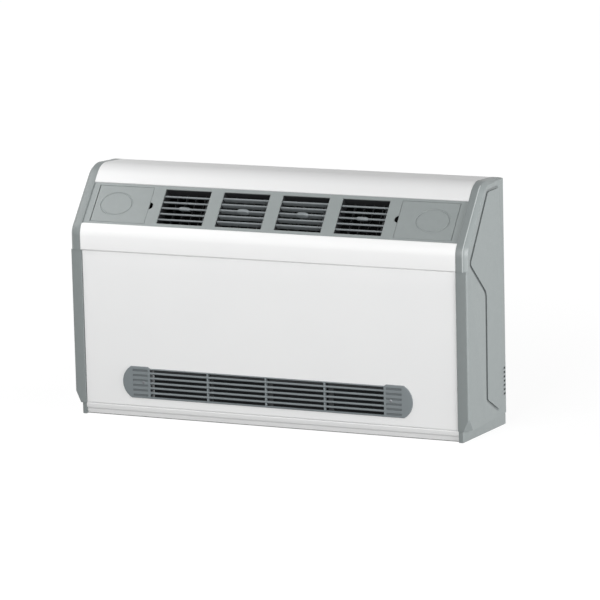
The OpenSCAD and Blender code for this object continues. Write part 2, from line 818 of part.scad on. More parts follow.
// End cap: a moulded shell with a bevelled edge, a groove, a lower corner post and a foot
module end_cap() {
  x1 = cabinet_w / 2;
  seam = band_h - seat_gap;
  post_low = base_h + seat_gap;
  skin_x = x1 - cap_wall - groove_d;
  face_t = 1;
  difference() {
    union() {
      difference() {
        union() {
          difference() {
            hull() {
              across(cap_x, x1 - cap_bevel_w) polygon(side_view(0, 0, foot_h));
              across(x1 - face_t, x1) polygon(cap_face());
            }
            box([cap_x - past, front_y - past, 0], [x1 + past, front_y + cap_step, seam]);
          }
          translate([0, 0, post_low]) linear_extrude(seam - post_low) post_plan();
        }
        beyond_facet();
      }
      linear_extrude(foot_h + past) foot_plan();
    }
    across(cap_x - past, skin_x) polygon(side_view(cap_rim + post_cover(), cap_rim, foot_h + cap_rim));
    across(x1 - groove_d, x1 + past) groove_line();
    for (i = [0:comb_slots - 1]) {
      z = comb_z + i * comb_pitch;
      box([skin_x - past, back_y - comb_in - comb_l, z], [x1 + past, back_y - comb_in, z + comb_h]);
    }
  }
}

// Depth added to the cap's front wall so that the corner post stays whole
function post_cover() = max(0, cap_step + post_d - cap_rim);

module right_end_cap() {
  color("slategray") end_cap();
}

module left_end_cap() {
  color("slategray") mirror([1, 0, 0]) end_cap();
}

// Centre of a vent, counted from the left
function vent_x(v) = (v - (vents + 1) / 2) * vent_pitch;

// Outlet deck: plate with skirts, vent windows, door openings, finger notches, ledges and hinge lugs
module outlet_deck() {
  half = cap_x - seat_gap;
  lo = deck_lo + seat_gap;
  hi = deck_hi - seat_gap;
  open_lo = deck_mid - door_l / 2;
  open_hi = deck_mid + door_l / 2;
  lug_in = 5;
  lug_out = 6;
  lug_low = hinge_n - 5;
  lap_n = under_n + 1;
  ledge_l = 28;
  ledge_low = under_n - 2.2;
  ledge_root = door_in - 6;
  ledge_tip = door_in + 4;
  ledge_t = notch_r + 3;
  deep_n = under_n - 20;
  color("slategray") on_slope() difference() {
    union() {
      box([-half, lo, under_n], [half, hi, deck_n]);
      box([-half, lo, under_n - skirt_d], [half, lo + skirt_t, lap_n]);
      box([-half, hi - skirt_t, under_n - skirt_d], [half, hi, lap_n]);
      both_sides() {
        for (t = [open_lo - lug_l, open_hi])
          box([hinge_x - lug_in, t, lug_low], [hinge_x + lug_out, t + lug_l, lap_n]);
        for (t = [deck_mid - ledge_t - ledge_l, deck_mid + ledge_t]) {
          box([ledge_root, t, ledge_low], [door_in, t + ledge_l, lap_n]);
          box([ledge_root, t, ledge_low], [ledge_tip, t + ledge_l, under_n - seat_gap]);
        }
      }
    }
    for (v = [1:vents]) box([vent_x(v) - vent_w / 2, deck_mid - vent_l / 2, deep_n],
                            [vent_x(v) + vent_w / 2, deck_mid + vent_l / 2, past]);
    both_sides() {
      box([door_in, open_lo, under_n - seat_gap], [door_in + door_w + hinge_gap, open_hi, past]);
      translate([door_in, deck_mid, deep_n]) cylinder(h = past - deep_n, r = notch_r);
      translate([hinge_x, open_lo - lug_l, hinge_n]) rotate([-90, 0, 0])
        cylinder(h = door_l + 2 * lug_l, r = hinge_r + run_gap / 2);
    }
  }
}

// Door: plate with a barrel along its hinged edge and an oval line
module door() {
  lo = deck_mid - door_l / 2 + door_gap;
  hi = deck_mid + door_l / 2 - door_gap;
  mid_x = door_in + oval_place * door_w;
  oval_x = oval_share * door_w;
  difference() {
    union() {
      box([door_in + door_gap, lo, under_n], [hinge_x, hi, deck_n]);
      translate([hinge_x, lo, hinge_n]) rotate([-90, 0, 0]) cylinder(h = hi - lo, r = barrel_r);
    }
    translate([hinge_x, lo - past, hinge_n]) rotate([-90, 0, 0])
      cylinder(h = hi - lo + 2 * past, r = hinge_r + run_gap);
    translate([mid_x, deck_mid, deck_n - oval_d]) linear_extrude(oval_d + past) difference() {
      polygon(oval(oval_x, oval_t));
      polygon(oval(oval_x - oval_w, oval_t - oval_w));
    }
  }
}

// Points of an oval
function oval(a, b) = [for (angle = [0:9:351]) [a * cos(angle), b * sin(angle)]];

module right_door() {
  color("slategray") on_slope() door();
}

module left_door() {
  color("slategray") on_slope() mirror([1, 0, 0]) door();
}

module door_hinge_pins() {
  color("silver") on_slope() both_sides() translate([hinge_x, deck_mid - door_l / 2 - lug_l, hinge_n])
    rotate([-90, 0, 0]) cylinder(h = door_l + 2 * lug_l, r = hinge_r);
}

// Vent frames: sleeves below the deck with pivot holes and fixed upright fins
module vent_frames() {
  half_w = vent_w / 2 + frame_wall;
  half_l = vent_l / 2 + 3;
  low = under_n - frame_d;
  fins = 4;
  color("slategray") on_slope() for (v = [1:vents]) translate([vent_x(v), deck_mid, 0]) difference() {
    union() {
      difference() {
        box([-half_w, -half_l, low], [half_w, half_l, under_n]);
        box([-vent_w / 2, -vent_l / 2, low - past], [vent_w / 2, vent_l / 2, past]);
      }
      for (i = [1:fins]) {
        x = vent_w * (i / (fins + 1) - 0.5);
        box([x - fin_t / 2, -vent_l / 2 - root, low], [x + fin_t / 2, vent_l / 2 + root, low + fin_d]);
      }
    }
    for (b = [1:blades]) translate([0, blade_t(b), pivot_n])
      rod(-half_w - past, half_w + past, pivot_r + run_gap);
  }
}

// Place of a blade's pivot up the slope, from the vent's middle
function blade_t(b) = (b - (blades + 1) / 2) * blade_pitch;
// Tilt of a vent's blades at rest
function vent_tilt(v) = (v == 1 || v == vents) ? tilt_outer : tilt_inner;
// Section of a blade: a round nose and a thinner round tail joined by flats, nose towards +N
function blade_section() =
  let (nose = blade_chord / 2 - nose_r, tail = tail_r - blade_chord / 2)
  let (a = asin((nose_r - tail_r) / (nose - tail)))
  concat(arc([nose, 0], nose_r, -90 - a, 90 + a, 10), arc([tail, 0], tail_r, 90 + a, 270 - a, 6));

// Blade: section along X, pivots at both ends, a notch with the crank pin, and the tab on the middle blade
module louvre(v, b) {
  link_x = vent_w / 2 - link_in;
  slot = link_t / 2 + link_room;
  deep = nose_r + past;
  pivot_root = 2;
  color("slategray") on_slope() translate([vent_x(v), deck_mid + blade_t(b), pivot_n])
    rotate([vent_tilt(v), 0, 0]) {
      difference() {
        across(-blade_l / 2, blade_l / 2) rotate(90) polygon(blade_section());
        box([link_x - slot, -deep, -blade_chord], [link_x + slot, deep, 0]);
      }
      translate([0, 0, -crank_throw]) rod(link_x - slot - root, link_x + slot + root, crank_r);
      rod(-blade_l / 2 - pivot_reach(), -blade_l / 2 + pivot_root, pivot_r);
      rod(blade_l / 2 - pivot_root, blade_l / 2 + pivot_reach(), pivot_r);
      if (2 * b == blades + 1) tab();
    }
}

// Length of a pivot outside the blade, a little short of the frame's outer face
function pivot_reach() = blade_play + frame_wall - 0.5;

// Finger tab: a thick pad with a bowed front edge
module tab() {
  tip = blade_chord / 2 + tab_reach;
  rise = tab_reach - tab_corner;
  bow = tab_w * tab_w / (8 * rise) + rise / 2;
  translate([0, tab_t / 2, 0]) rotate([90, 0, 0]) linear_extrude(tab_t) intersection() {
    translate([-tab_w / 2, -tab_back]) square([tab_w, tip + tab_back]);
    translate([0, tip - bow]) circle(r = bow, $fn = 96);
  }
}

// Link: a bar that joins the crank pins of one vent's blades
module louvre_link(v) {
  link_x = vent_w / 2 - link_in;
  a = vent_tilt(v);
  reach = blade_t(blades) + link_w / 2;
  pin = crank_throw * [sin(a), -cos(a)];
  color("dimgray") on_slope()
    translate([vent_x(v) + link_x, deck_mid + pin[0], pivot_n + pin[1]]) difference() {
      box([-link_t / 2, -reach, -link_w / 2], [link_t / 2, reach, link_w / 2]);
      for (b = [1:blades]) translate([0, blade_t(b), 0]) rod(-link_t, link_t, crank_r + run_gap);
    }
}

// Places children in the coil's frame: Y through the rows, Z along them
module in_coil() {
  translate([0, coil_y, coil_z]) rotate([coil_lean, 0, 0]) children();
}

// Places of the tubes in the coil's frame
function row_y(row) = (row - 0.5) * row_pitch;
function tube_z(k) = (k - (tubes - 1) / 2) * tube_pitch;

// A plate across the tubes, with a hole for each
module tube_plate(x, t, margin) {
  hole_r = tube_r + 0.1;
  across(x, x + t) difference() {
    translate([-row_pitch - margin, -tubes / 2 * tube_pitch - margin])
      square([2 * row_pitch + 2 * margin, tubes * tube_pitch + 2 * margin]);
    for (row = [0, 1], k = [0:tubes - 1]) translate([row_y(row), tube_z(k)]) circle(r = hole_r, $fn = 24);
  }
}

module coil_fins() {
  end_room = 6;
  count = floor((gable_x - end_room) / fin_pitch);
  color("gainsboro") in_coil() for (i = [-count:count])
    tube_plate(i * fin_pitch - fin_sheet / 2, fin_sheet, 0);
}

module coil_end_plates() {
  x = gable_x - seat_gap - sheet_t;
  margin = 2;
  color("silver") in_coil() {
    tube_plate(x, sheet_t, margin);
    tube_plate(-x - sheet_t, sheet_t, margin);
  }
}

module coil_tubes() {
  color("chocolate") in_coil() for (row = [0, 1], k = [0:tubes - 1]) translate([0, row_y(row), tube_z(k)])
    rod(-tube_end, tube_end, tube_r);
}

// A half turn of tube in the XY plane, open towards -Y
module half_turn(r) {
  rotate_extrude(angle = 180) translate([r, 0]) circle(r = tube_r);
}

module return_bends() {
  color("chocolate") in_coil() for (k = [0:2:tubes - 2]) {
    for (row = [0, 1]) translate([tube_end, row_y(row), (tube_z(k) + tube_z(k + 1)) / 2])
      rotate([90, 0, 90]) rotate([90, 0, 90]) half_turn(tube_pitch / 2);
    translate([-tube_end, 0, tube_z(k + 1)]) rotate([0, 0, 90]) half_turn(row_pitch / 2);
  }
}

// Headers: one upright pipe for each row, with stubs to every other tube and a threaded socket
module coil_headers() {
  z0 = tube_z(0) - header_over;
  z1 = tube_z(tubes - 2) + header_over;
  socket_in = 8;
  neck_r = header_r - 1.5;
  floor_t = 3;
  mouth = -socket_x - socket_l - floor_t;
  color("chocolate") in_coil() for (row = [0, 1]) translate([0, row_y(row), 0]) {
    z = row == 0 ? z0 + socket_in : z1 - socket_in;
    translate([-header_x, 0, z0]) cylinder(h = z1 - z0, r = header_r);
    for (k = [0:2:tubes - 2]) translate([0, 0, tube_z(k)]) rod(-header_x, -tube_end, tube_r);
    translate([0, 0, z]) difference() {
      union() {
        rod(-socket_x - root, -header_x, neck_r);
        rod(mouth, -socket_x, socket_out_r);
      }
      rod(mouth - past, -socket_x - floor_t, socket_r);
    }
  }
}

// Bleed valve on top of the rear header
module bleed_valve() {
  z = tube_z(tubes - 2) + header_over;
  hex_h = 9;
  hex_r = 6;
  stem_h = 6;
  stem_r = 3.5;
  slot_w = 1.2;
  slot_d = 2;
  nozzle_l = 12;
  nozzle_r = 2;
  color("goldenrod") in_coil() translate([-header_x, row_y(1), z]) {
    cylinder(h = hex_h, r = hex_r, $fn = 6);
    translate([0, 0, hex_h]) difference() {
      cylinder(h = stem_h, r = stem_r);
      box([-stem_r - past, -slot_w / 2, stem_h - slot_d], [stem_r + past, slot_w / 2, stem_h + past]);
    }
    translate([0, 0, hex_h / 2]) rod(0, nozzle_l, nozzle_r);
  }
}

// Drain pan below the coil's lower edge, with a spigot into the pipe bay
module drain_pan() {
  x = gable_x - 2 * seat_gap - sheet_t;
  wall = back_y - sheet_t - seat_gap;
  mouth = -gable_x - sheet_t - spigot_l;
  color("dimgray") difference() {
    union() {
      box([-x, pan_y, pan_z], [x, wall, pan_z + pan_h]);
      translate([0, spigot_y, spigot_z]) rod(mouth, -x + root, spigot_r);
    }
    box([-x + pan_t, pan_y + pan_t, pan_z + pan_t], [x - pan_t, wall - pan_t, pan_z + pan_h + past]);
    translate([0, spigot_y, spigot_z]) rod(mouth - past, -x + pan_t + past, spigot_bore);
  }
}

// Fan deck: shelf between the gables with the two fan outlets
module fan_deck() {
  x = gable_x - seat_gap;
  filter_gap = 4;
  front = filter_front + filter_t + filter_gap;
  wall = back_y - sheet_t - seat_gap;
  flange_top = fan_deck_z + fan_flange;
  side = 4;
  half_w = scroll_w / 2 - side;
  margin = 2;
  color("silver") difference() {
    union() {
      box([-x, front, fan_deck_z], [x, wall, fan_deck_z + sheet_t]);
      both_sides() box([x - sheet_t, front, fan_deck_z], [x, pan_y - margin, flange_top]);
      box([-x, front, fan_deck_z], [x, front + sheet_t, flange_top]);
    }
    both_sides() box([fan_x - half_w, outlet_front + margin, fan_deck_z - past],
                     [fan_x + half_w, outlet_front + outlet_d - margin, fan_deck_z + sheet_t + past]);
  }
}

// Side view of a scroll about the shaft, set in by d: the radius grows from the tongue round to the outlet
module scroll_shape(d, top) {
  turn = 270;
  steps = 36;
  polygon(concat(
    [for (i = [0:steps]) let (a = 90 - turn * i / steps, r = scroll_r - d + scroll_grow * i / steps)
      r * [cos(a), sin(a)]],
    [[-scroll_max + d, top], [-scroll_max + outlet_d - d, top], [-scroll_max + outlet_d - d, scroll_r - d]]
  ));
}

// Scroll housings: a wrap with lips at the outlet, seated between two side plates with inlet rings
module fan_housings() {
  top = fan_deck_z - seat_gap - fan_z;
  half = scroll_w / 2;
  t = 1.5;
  seat = half - t - seat_gap;
  flange = 6;
  front_flange = 4;
  ring = 3;
  lip_front = -scroll_max - front_flange;
  lip_back = -scroll_max + outlet_d + flange;
  color("silver") both_sides() translate([fan_x, fan_y, fan_z]) {
    difference() {
      union() {
        across(-seat, seat) scroll_shape(0, top);
        box([-seat, lip_front, top - t], [seat, lip_back, top]);
      }
      across(-half, half) scroll_shape(t, top + past);
    }
    both_sides() difference() {
      union() {
        across(half - t, half) scroll_shape(0, top);
        box([half - t, lip_front, top - t], [half + flange, lip_back, top]);
        rod(half - t, half + ring, eye_r + ring);
      }
      rod(0, scroll_w, eye_r);
    }
  }
}

// Wheels: a hub disc, end rings and a cage of forward-leaning blades
module fan_wheels() {
  hub_r = shaft_r + 6;
  hub_half = 12;
  disc_half = 1.5;
  disc_in = 1;
  ring_w = 4;
  ring_in = wheel_r - wheel_blade + 4;
  blade_half = 0.6;
  blade_tip = wheel_r - 1.6;
  lean = 28;
  color("dimgray") both_sides() translate([fan_x, fan_y, fan_z]) difference() {
    union() {
      rod(-disc_half, disc_half, wheel_r - disc_in);
      rod(-hub_half, hub_half, hub_r);
      for (x = [-wheel_w / 2, wheel_w / 2 - ring_w]) difference() {
        rod(x, x + ring_w, wheel_r);
        rod(x - past, x + ring_w + past, ring_in);
      }
      for (i = [0:wheel_blades - 1]) rotate([i * 360 / wheel_blades, 0, 0]) translate([0, 0, blade_tip])
        rotate([lean, 0, 0])
          box([past - wheel_w / 2, -blade_half, -wheel_blade], [wheel_w / 2 - past, blade_half, 0]);
    }
    rod(-hub_half - past, hub_half + past, shaft_r + press_gap);
  }
}

module fan_shaft() {
  half = fan_x + 16;
  color("silver") translate([0, fan_y, fan_z]) rod(-half, half, shaft_r);
}

module motor_body() {
  end = motor_l / 2 + boss_l;
  shell = motor_l / 2 - 14;
  bell_r = motor_r - 4;
  bore_r = shaft_r + 1;
  flutes = 12;
  flute_half = motor_l / 2 - 20;
  flute_w = 4;
  flute_d = 2;
  color("dimgray") translate([0, fan_y, fan_z]) difference() {
    union() {
      rod(-shell, shell, motor_r);
      rod(-motor_l / 2, motor_l / 2, bell_r);
      rod(-end, end, boss_r);
    }
    rod(-end - past, end + past, bore_r);
    both_sides() rod(end - bearing_l, end + past, bearing_r + press_gap);
    for (i = [1:flutes]) rotate([i * 360 / flutes, 0, 0])
      box([-flute_half, -flute_w / 2, motor_r - flute_d], [flute_half, flute_w / 2, motor_r + past]);
  }
}

module motor_bearings() {
  end = motor_l / 2 + boss_l;
  color("gainsboro") translate([0, fan_y, fan_z]) both_sides() difference() {
    rod(end - bearing_l, end, bearing_r);
    rod(end - bearing_l - past, end + past, shaft_r + run_gap);
  }
}

module motor_grommets() {
  x = motor_l / 2 + seat_gap;
  end = x + boss_l - 1;
  color("black") translate([0, fan_y, fan_z]) both_sides() difference() {
    rod(x, end, rubber_r);
    rod(x - past, end + past, boss_r + mount_gap);
  }
}

// Motor bracket: a channel under the fan deck whose cheeks hold the rubber mounts
module motor_bracket() {
  x = motor_l / 2 + boss_l / 2 - 2;
  w = rubber_r + 8;
  cheek_t = 3;
  web_t = 2;
  top = fan_deck_z - seat_gap - fan_z;
  color("silver") translate([0, fan_y, fan_z]) difference() {
    union() {
      both_sides() across(x, x + cheek_t) {
        circle(r = w);
        translate([-w, 0]) square([2 * w, top]);
      }
      box([-x - root, -w, top - web_t], [x + root, w, top]);
    }
    rod(-x - cheek_t - past, x + cheek_t + past, rubber_r + mount_gap);
  }
}

// Control tray on the right gable, under the right door
module control_tray() {
  end_in = 3;
  lo = deck_mid - door_l / 2 + end_in;
  hi = deck_mid + door_l / 2 - end_in;
  floor_n = tray_n - tray_d;
  right = tray_x + tray_w;
  boss_d = 14;
  boss_wall = 6;
  well_d = spindle_d + 1;
  color("darkslategray") on_slope() difference() {
    union() {
      box([tray_x, lo, floor_n], [right, hi, tray_n]);
      for (i = [-0.5, 0.5]) translate([knob_mid + i * knob_pitch, deck_mid, floor_n - boss_d])
        cylinder(h = boss_d + root, r = spindle_r + boss_wall);
    }
    box([tray_x + tray_t, lo + tray_t, floor_n + tray_t], [right - tray_t, hi - tray_t, tray_n + past]);
    for (i = [-0.5, 0.5]) translate([knob_mid + i * knob_pitch, deck_mid, floor_n - well_d])
      cylinder(h = well_d + tray_d, r = spindle_r + run_gap);
  }
}

// Knob: fluted skirt, pointer ridge and spindle
module knob(i) {
  spindle_low = tray_n - tray_d - spindle_d - knob_n;
  ridge_w = 5;
  ridge_l = knob_r - 3;
  ridge_h = 2;
  flutes = 12;
  flute_r = 2;
  flute_x = knob_r + 1;
  skirt_h = 2;
  color("whitesmoke") on_slope() translate([knob_mid + i * knob_pitch, deck_mid, knob_n]) {
    difference() {
      cylinder(h = knob_h - ridge_h, r = knob_r);
      for (k = [1:flutes]) rotate((k - 0.5) * 360 / flutes) translate([flute_x, 0, skirt_h])
        cylinder(h = knob_h, r = flute_r);
    }
    box([-ridge_w / 2, -ridge_l, 0], [ridge_w / 2, ridge_l, knob_h]);
    translate([0, 0, spindle_low]) cylinder(h = root - spindle_low, r = spindle_r);
  }
}

module speed_knob() {
  knob(-0.5);
}

module thermostat_knob() {
  knob(0.5);
}

chassis_back();
left_gable();
right_gable();
front_panel();
top_rail();
front_band();
base_rail();
left_end_cap();
right_end_cap();
outlet_deck();
left_door();
right_door();
door_hinge_pins();
vent_frames();
inlet_grille();
grille_screws();
filter_frame();
filter_mesh();
coil_fins();
coil_tubes();
return_bends();
coil_end_plates();
coil_headers();
bleed_valve();
drain_pan();
fan_deck();
fan_housings();
fan_wheels();
fan_shaft();
motor_body();
motor_bearings();
motor_grommets();
motor_bracket();
control_tray();
speed_knob();
thermostat_knob();
for (v = [1:vents]) louvre_link(v);
for (v = [1:vents], b = [1:blades]) louvre(v, b);
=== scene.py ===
# %% [markdown]
# # A fan coil unit, dressed around its CAD frame
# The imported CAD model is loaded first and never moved. Each piece below is a smoother form of one of
# its nodes, with a finish; only the marks round the knobs, the floor and the lamps are new. Lengths
# are in millimetres in the formulas and in metres in the meshes.

# %% Load the frame
import json
import math
import bmesh
import bpy
import numpy as np
from mathutils import Matrix, Vector


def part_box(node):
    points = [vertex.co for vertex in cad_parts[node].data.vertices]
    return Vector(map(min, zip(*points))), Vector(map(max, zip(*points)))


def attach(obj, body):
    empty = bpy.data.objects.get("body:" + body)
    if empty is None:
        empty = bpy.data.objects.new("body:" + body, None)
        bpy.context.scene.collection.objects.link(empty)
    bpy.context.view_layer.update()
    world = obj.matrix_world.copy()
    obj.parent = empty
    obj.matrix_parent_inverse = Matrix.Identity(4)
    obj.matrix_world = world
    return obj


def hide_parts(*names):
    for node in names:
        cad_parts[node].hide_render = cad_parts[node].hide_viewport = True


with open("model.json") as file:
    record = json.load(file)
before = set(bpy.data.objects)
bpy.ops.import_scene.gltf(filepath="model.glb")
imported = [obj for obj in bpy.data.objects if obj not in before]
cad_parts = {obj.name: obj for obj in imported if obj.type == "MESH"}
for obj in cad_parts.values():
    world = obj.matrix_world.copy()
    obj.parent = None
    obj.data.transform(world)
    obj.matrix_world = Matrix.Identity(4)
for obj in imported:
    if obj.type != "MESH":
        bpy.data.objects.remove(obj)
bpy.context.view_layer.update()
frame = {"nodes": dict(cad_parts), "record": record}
bodies = frame["record"]["behaviour"]["bodies"]
BODY_OF = {node: body for body, nodes in bodies.items() for node in nodes}
MM = 0.001

# %% [markdown]
# ## Camera
# The camera stands far off with a long lens, because the edges of the cabinet in the picture stay
# almost parallel. Its three axes are written out as vectors and put into a matrix, so that the
# small roll of the picture is kept.

# %% Camera
AZIMUTH, ELEVATION, ROLL = np.radians([25.111, 10.861, -1.378])
DISTANCE, LENS, SENSOR, CLIP_END = 9.09283, 236.41, 36.0, 60.0
TARGET = np.array([0.03585, 0.0015, 0.28203])


def linked(name, data):
    """A new object of the scene."""
    item = bpy.data.objects.new(name, data)
    bpy.context.scene.collection.objects.link(item)
    return item


def look_at_cabinet():
    """back = (sin a cos e, -cos a cos e, sin e); right and up are square to it and turned by the roll."""
    back = np.array([math.sin(AZIMUTH) * math.cos(ELEVATION), -math.cos(AZIMUTH) * math.cos(ELEVATION),
                     math.sin(ELEVATION)])
    right = np.array([math.cos(AZIMUTH), math.sin(AZIMUTH), 0.0])
    up = np.cross(back, right)
    right_rolled = right * math.cos(ROLL) + up * math.sin(ROLL)
    up_rolled = up * math.cos(ROLL) - right * math.sin(ROLL)
    turn = Matrix(np.column_stack([right_rolled, up_rolled, back]).tolist()).to_4x4()
    return Matrix.Translation(TARGET + back * DISTANCE) @ turn


camera = linked("camera", bpy.data.cameras.new("camera"))
camera.data.lens, camera.data.sensor_width = LENS, SENSOR
camera.data.clip_end = CLIP_END
camera.matrix_world = look_at_cabinet()
bpy.context.scene.camera = camera
print("camera at", [round(c, 3) for c in camera.location])

# %% [markdown]
# ## Shader maths
# A procedural finish is a small formula. Writing it as Python arithmetic is easier to read than a
# list of links, so one class wraps a socket and turns each operator into a Math node, and one
# method makes every other kind of node.


# %% Sockets with arithmetic, and a maker of nodes
class Tone:
    """A socket of a finish; a sum, product or power of two tones adds one Math node."""

    def __init__(self, finish, socket):
        self.finish, self.socket = finish, socket

    def with_node(self, operation, other):
        return self.finish.node("Math", {0: self, 1: other}, operation=operation)

    def __add__(self, other):
        return self.with_node("ADD", other)

    def __mul__(self, other):
        return self.with_node("MULTIPLY", other)

    def __pow__(self, other):
        return self.with_node("POWER", other)


class Finish:
    """A material: constants sit on the shader's sockets, and patterns read Object coordinates."""

    def __init__(self, name, **constants):
        self.material = bpy.data.materials.new(name)
        self.material.use_nodes = True
        self.tree = self.material.node_tree
        self.shader = self.tree.nodes["Principled BSDF"]
        self.feed(**constants)
        self.place = self.node("TexCoord", output="Object")

    def node(self, kind, inputs=None, output=0, **settings):
        """Makes one shader node: its settings first, then a link or a value for each named socket."""
        made = self.tree.nodes.new("ShaderNode" + kind)
        for key, value in settings.items():
            setattr(made, key, value)
        for key, value in (inputs or {}).items():
            self.fill(made.inputs[key], value)
        return Tone(self, made.outputs[output])

    def fill(self, socket, value):
        if isinstance(value, Tone):
            self.tree.links.new(value.socket, socket)
        else:
            socket.default_value = value

    def feed(self, **inputs):
        for key, value in inputs.items():
            self.fill(self.shader.inputs[key.replace("_", " ")], value)
        return self

    def noise(self, scale, detail=2.0, stretch=(1, 1, 1)):
        """Smooth noise with features about 1/scale metres wide, stretched along an axis where asked."""
        spot = self.node("Mapping", {"Vector": self.place, "Scale": stretch})
        return self.node("TexNoise", {"Vector": spot, "Scale": scale, "Detail": detail})

    def blend(self, factor, first, second):
        """Colour first where factor is 0, second where it is 1; each is a tone or a triple."""
        ends = [c if isinstance(c, Tone) else (*c, 1) for c in (first, second)]
        sockets = {0: factor, 6: ends[0], 7: ends[1]}
        return self.node("Mix", sockets, 2, data_type="RGBA")

    def ramp(self, value, low, high):
        """0 below low, 1 above high, and a straight line between."""
        return self.node("MapRange", {"Value": value, "From Min": low, "From Max": high})

    def marked(self, mark, colour, other):
        """The colour, or the other one on faces that have the attribute mark."""
        mask = self.node("Attribute", output="Fac", attribute_name=mark)
        return self.blend(mask, colour, other)

    def relief(self, height, strength, depth):
        """A bump of that strength from a height between 0 and 1, depth metres tall."""
        shape = {"Height": height, "Strength": strength, "Distance": depth}
        return self.feed(Normal=self.node("Bump", shape))


# %% [markdown]
# ## Finishes
# The white sheet metal is powder coated: almost even, with a faint orange peel. The grey mouldings
# have the fine matt grain of spark-eroded tools. The inside is galvanised sheet with its spangle,
# copper, aluminium, rubber and plastics.

# %% Coated and moulded finishes
WHITE, WHITE_LOW = (0.815, 0.818, 0.815), (0.78, 0.784, 0.786)
# The band's white is a lighter copy of the panel's coat, which is painted light, and the top rail's a
# darker copy, which is painted shade.
BAND_LIT_WHITE, BAND_LIT_DULL = (0.860, 0.862, 0.860), (0.835, 0.838, 0.838)
RAIL_SHADED_WHITE, RAIL_SHADED_DULL = (0.755, 0.757, 0.756), (0.72, 0.723, 0.725)
CAP_GREY, DECK_GREY, LOUVRE_GREY = (0.200, 0.222, 0.222), (0.246, 0.271, 0.270), (0.190, 0.210, 0.218)
GRILLE_GREY, GROOVE_SHADE_GREY, BLIND_SHADE_GREY = (0.170, 0.193, 0.202), (0.138, 0.152, 0.153), (0.105, 0.120, 0.126)
HIGHLIGHT_GREY, INSIDE_SHADE_BLACK, TOE_SHADE_GREY = (0.40, 0.43, 0.43), (0.016, 0.016, 0.017), (0.10, 0.10, 0.10)
POINTER_GREY = (0.12, 0.13, 0.135)


def scaled(colour, factor):
    return tuple(min(1.0, c * factor) for c in colour)


def powder_coat(name, bright, dull):
    """Colour drifts by a few hundredths over a hand's width; the peel is a bump about 1 mm wide.
    Marked faces take a dark grey that is painted shade, as in the gap above the floor."""
    coat = Finish(name, IOR=1.48, Specular_IOR_Level=0.4)
    paint = coat.blend(coat.noise(5.0), bright, dull)
    coat.feed(Base_Color=coat.marked("painted_shade_and_ink", paint, TOE_SHADE_GREY), Roughness=coat.noise(40.0) * 0.08 + 0.36)
    return coat.relief(coat.noise(900.0, 1.0), 0.06, 0.0004)


def moulded(name, colour, rough, grain=1600.0, depth=0.0005, painted_shade_and_ink=None, painted_highlight=None):
    """Two close shades mottled over 2 cm and specks of 1 mm; the grain is a fine bump. Faces marked in
    the bed of a groove take a darker colour, which is painted shade, and a knob's pointer takes its dark
    ink the same way; faces marked along an edge take a lighter colour, which is a painted highlight."""
    shell = Finish(name, IOR=1.5, Specular_IOR_Level=0.45)
    mottle = shell.noise(55.0, 4.0) * 0.7 + shell.noise(700.0) * 0.3
    paint = shell.blend(mottle, scaled(colour, 0.93), scaled(colour, 1.07))
    for mark, other in (("painted_shade_and_ink", painted_shade_and_ink), ("painted_highlight", painted_highlight)):
        if other:
            paint = shell.marked(mark, paint, other)
    shell.feed(Base_Color=paint, Roughness=shell.noise(160.0) * 0.12 + rough)
    return shell.relief(shell.noise(grain, 3.0), 0.12, depth)


FINISHES = {
    "cabinet_white": powder_coat("powder_coat_white", WHITE, WHITE_LOW),
    "band_painted_light": powder_coat("powder_coat_band_painted_light", BAND_LIT_WHITE, BAND_LIT_DULL),
    "rail_painted_shade": powder_coat("powder_coat_rail_painted_shade", RAIL_SHADED_WHITE, RAIL_SHADED_DULL),
    "cap_grey": moulded("end_cap_grey", CAP_GREY, 0.34, painted_shade_and_ink=GROOVE_SHADE_GREY, painted_highlight=HIGHLIGHT_GREY),
    "deck_grey": moulded("outlet_deck_grey", DECK_GREY, 0.4),
    "louvre_grey": moulded("louvre_grey", LOUVRE_GREY, 0.42),
    "grille_grey": moulded("inlet_grille_grey", GRILLE_GREY, 0.42, painted_shade_and_ink=BLIND_SHADE_GREY),
    # The vent frames are near black: painted shade inside the vents.
    "vent_black": moulded("vent_frame_painted_shade", (0.020, 0.021, 0.023), 0.55),
    "link_plastic": moulded("link_nylon", (0.035, 0.036, 0.038), 0.5),
    "pan_plastic": moulded("drain_pan_polystyrene", (0.045, 0.047, 0.05), 0.55),
    "fan_plastic": moulded("fan_wheel_plastic", (0.10, 0.105, 0.11), 0.5),
    "tray_plastic": moulded("control_tray_plastic", (0.10, 0.112, 0.115), 0.5),
    "knob_plastic": moulded("knob_white", (0.74, 0.74, 0.72), 0.38, painted_shade_and_ink=POINTER_GREY),
    "filter_plastic": moulded("filter_frame_plastic", (0.045, 0.047, 0.05), 0.6),
    "mount_rubber": moulded("mount_rubber", (0.022, 0.022, 0.023), 0.7, 900.0, 0.001),
}
print("moulded and coated finishes", len(FINISHES))


# %% Metal and cloth finishes
def galvanised(name, colour, inside_shade):
    """Spangle: each cell of a Voronoi pattern, 9 mm wide, has its own brightness and roughness.
    Marked faces, inside the cabinet, are near black: painted shade of the closed interior."""
    zinc = Finish(name, Metallic=0.85)
    cell = zinc.node("TexVoronoi", {"Vector": zinc.place, "Scale": 110.0}, "Color")
    shade = zinc.node("SeparateColor", {"Color": cell})
    smear = zinc.noise(14.0, 3.0)
    spangle = zinc.blend(shade * 0.6 + smear * 0.4, scaled(colour, 0.86), scaled(colour, 1.12))
    zinc.feed(Base_Color=zinc.marked("painted_shade_and_ink", spangle, inside_shade), Roughness=shade * 0.16 + 0.34)
    return zinc.relief(shade * 0.5 + zinc.noise(300.0) * 0.5, 0.08, 0.0003)


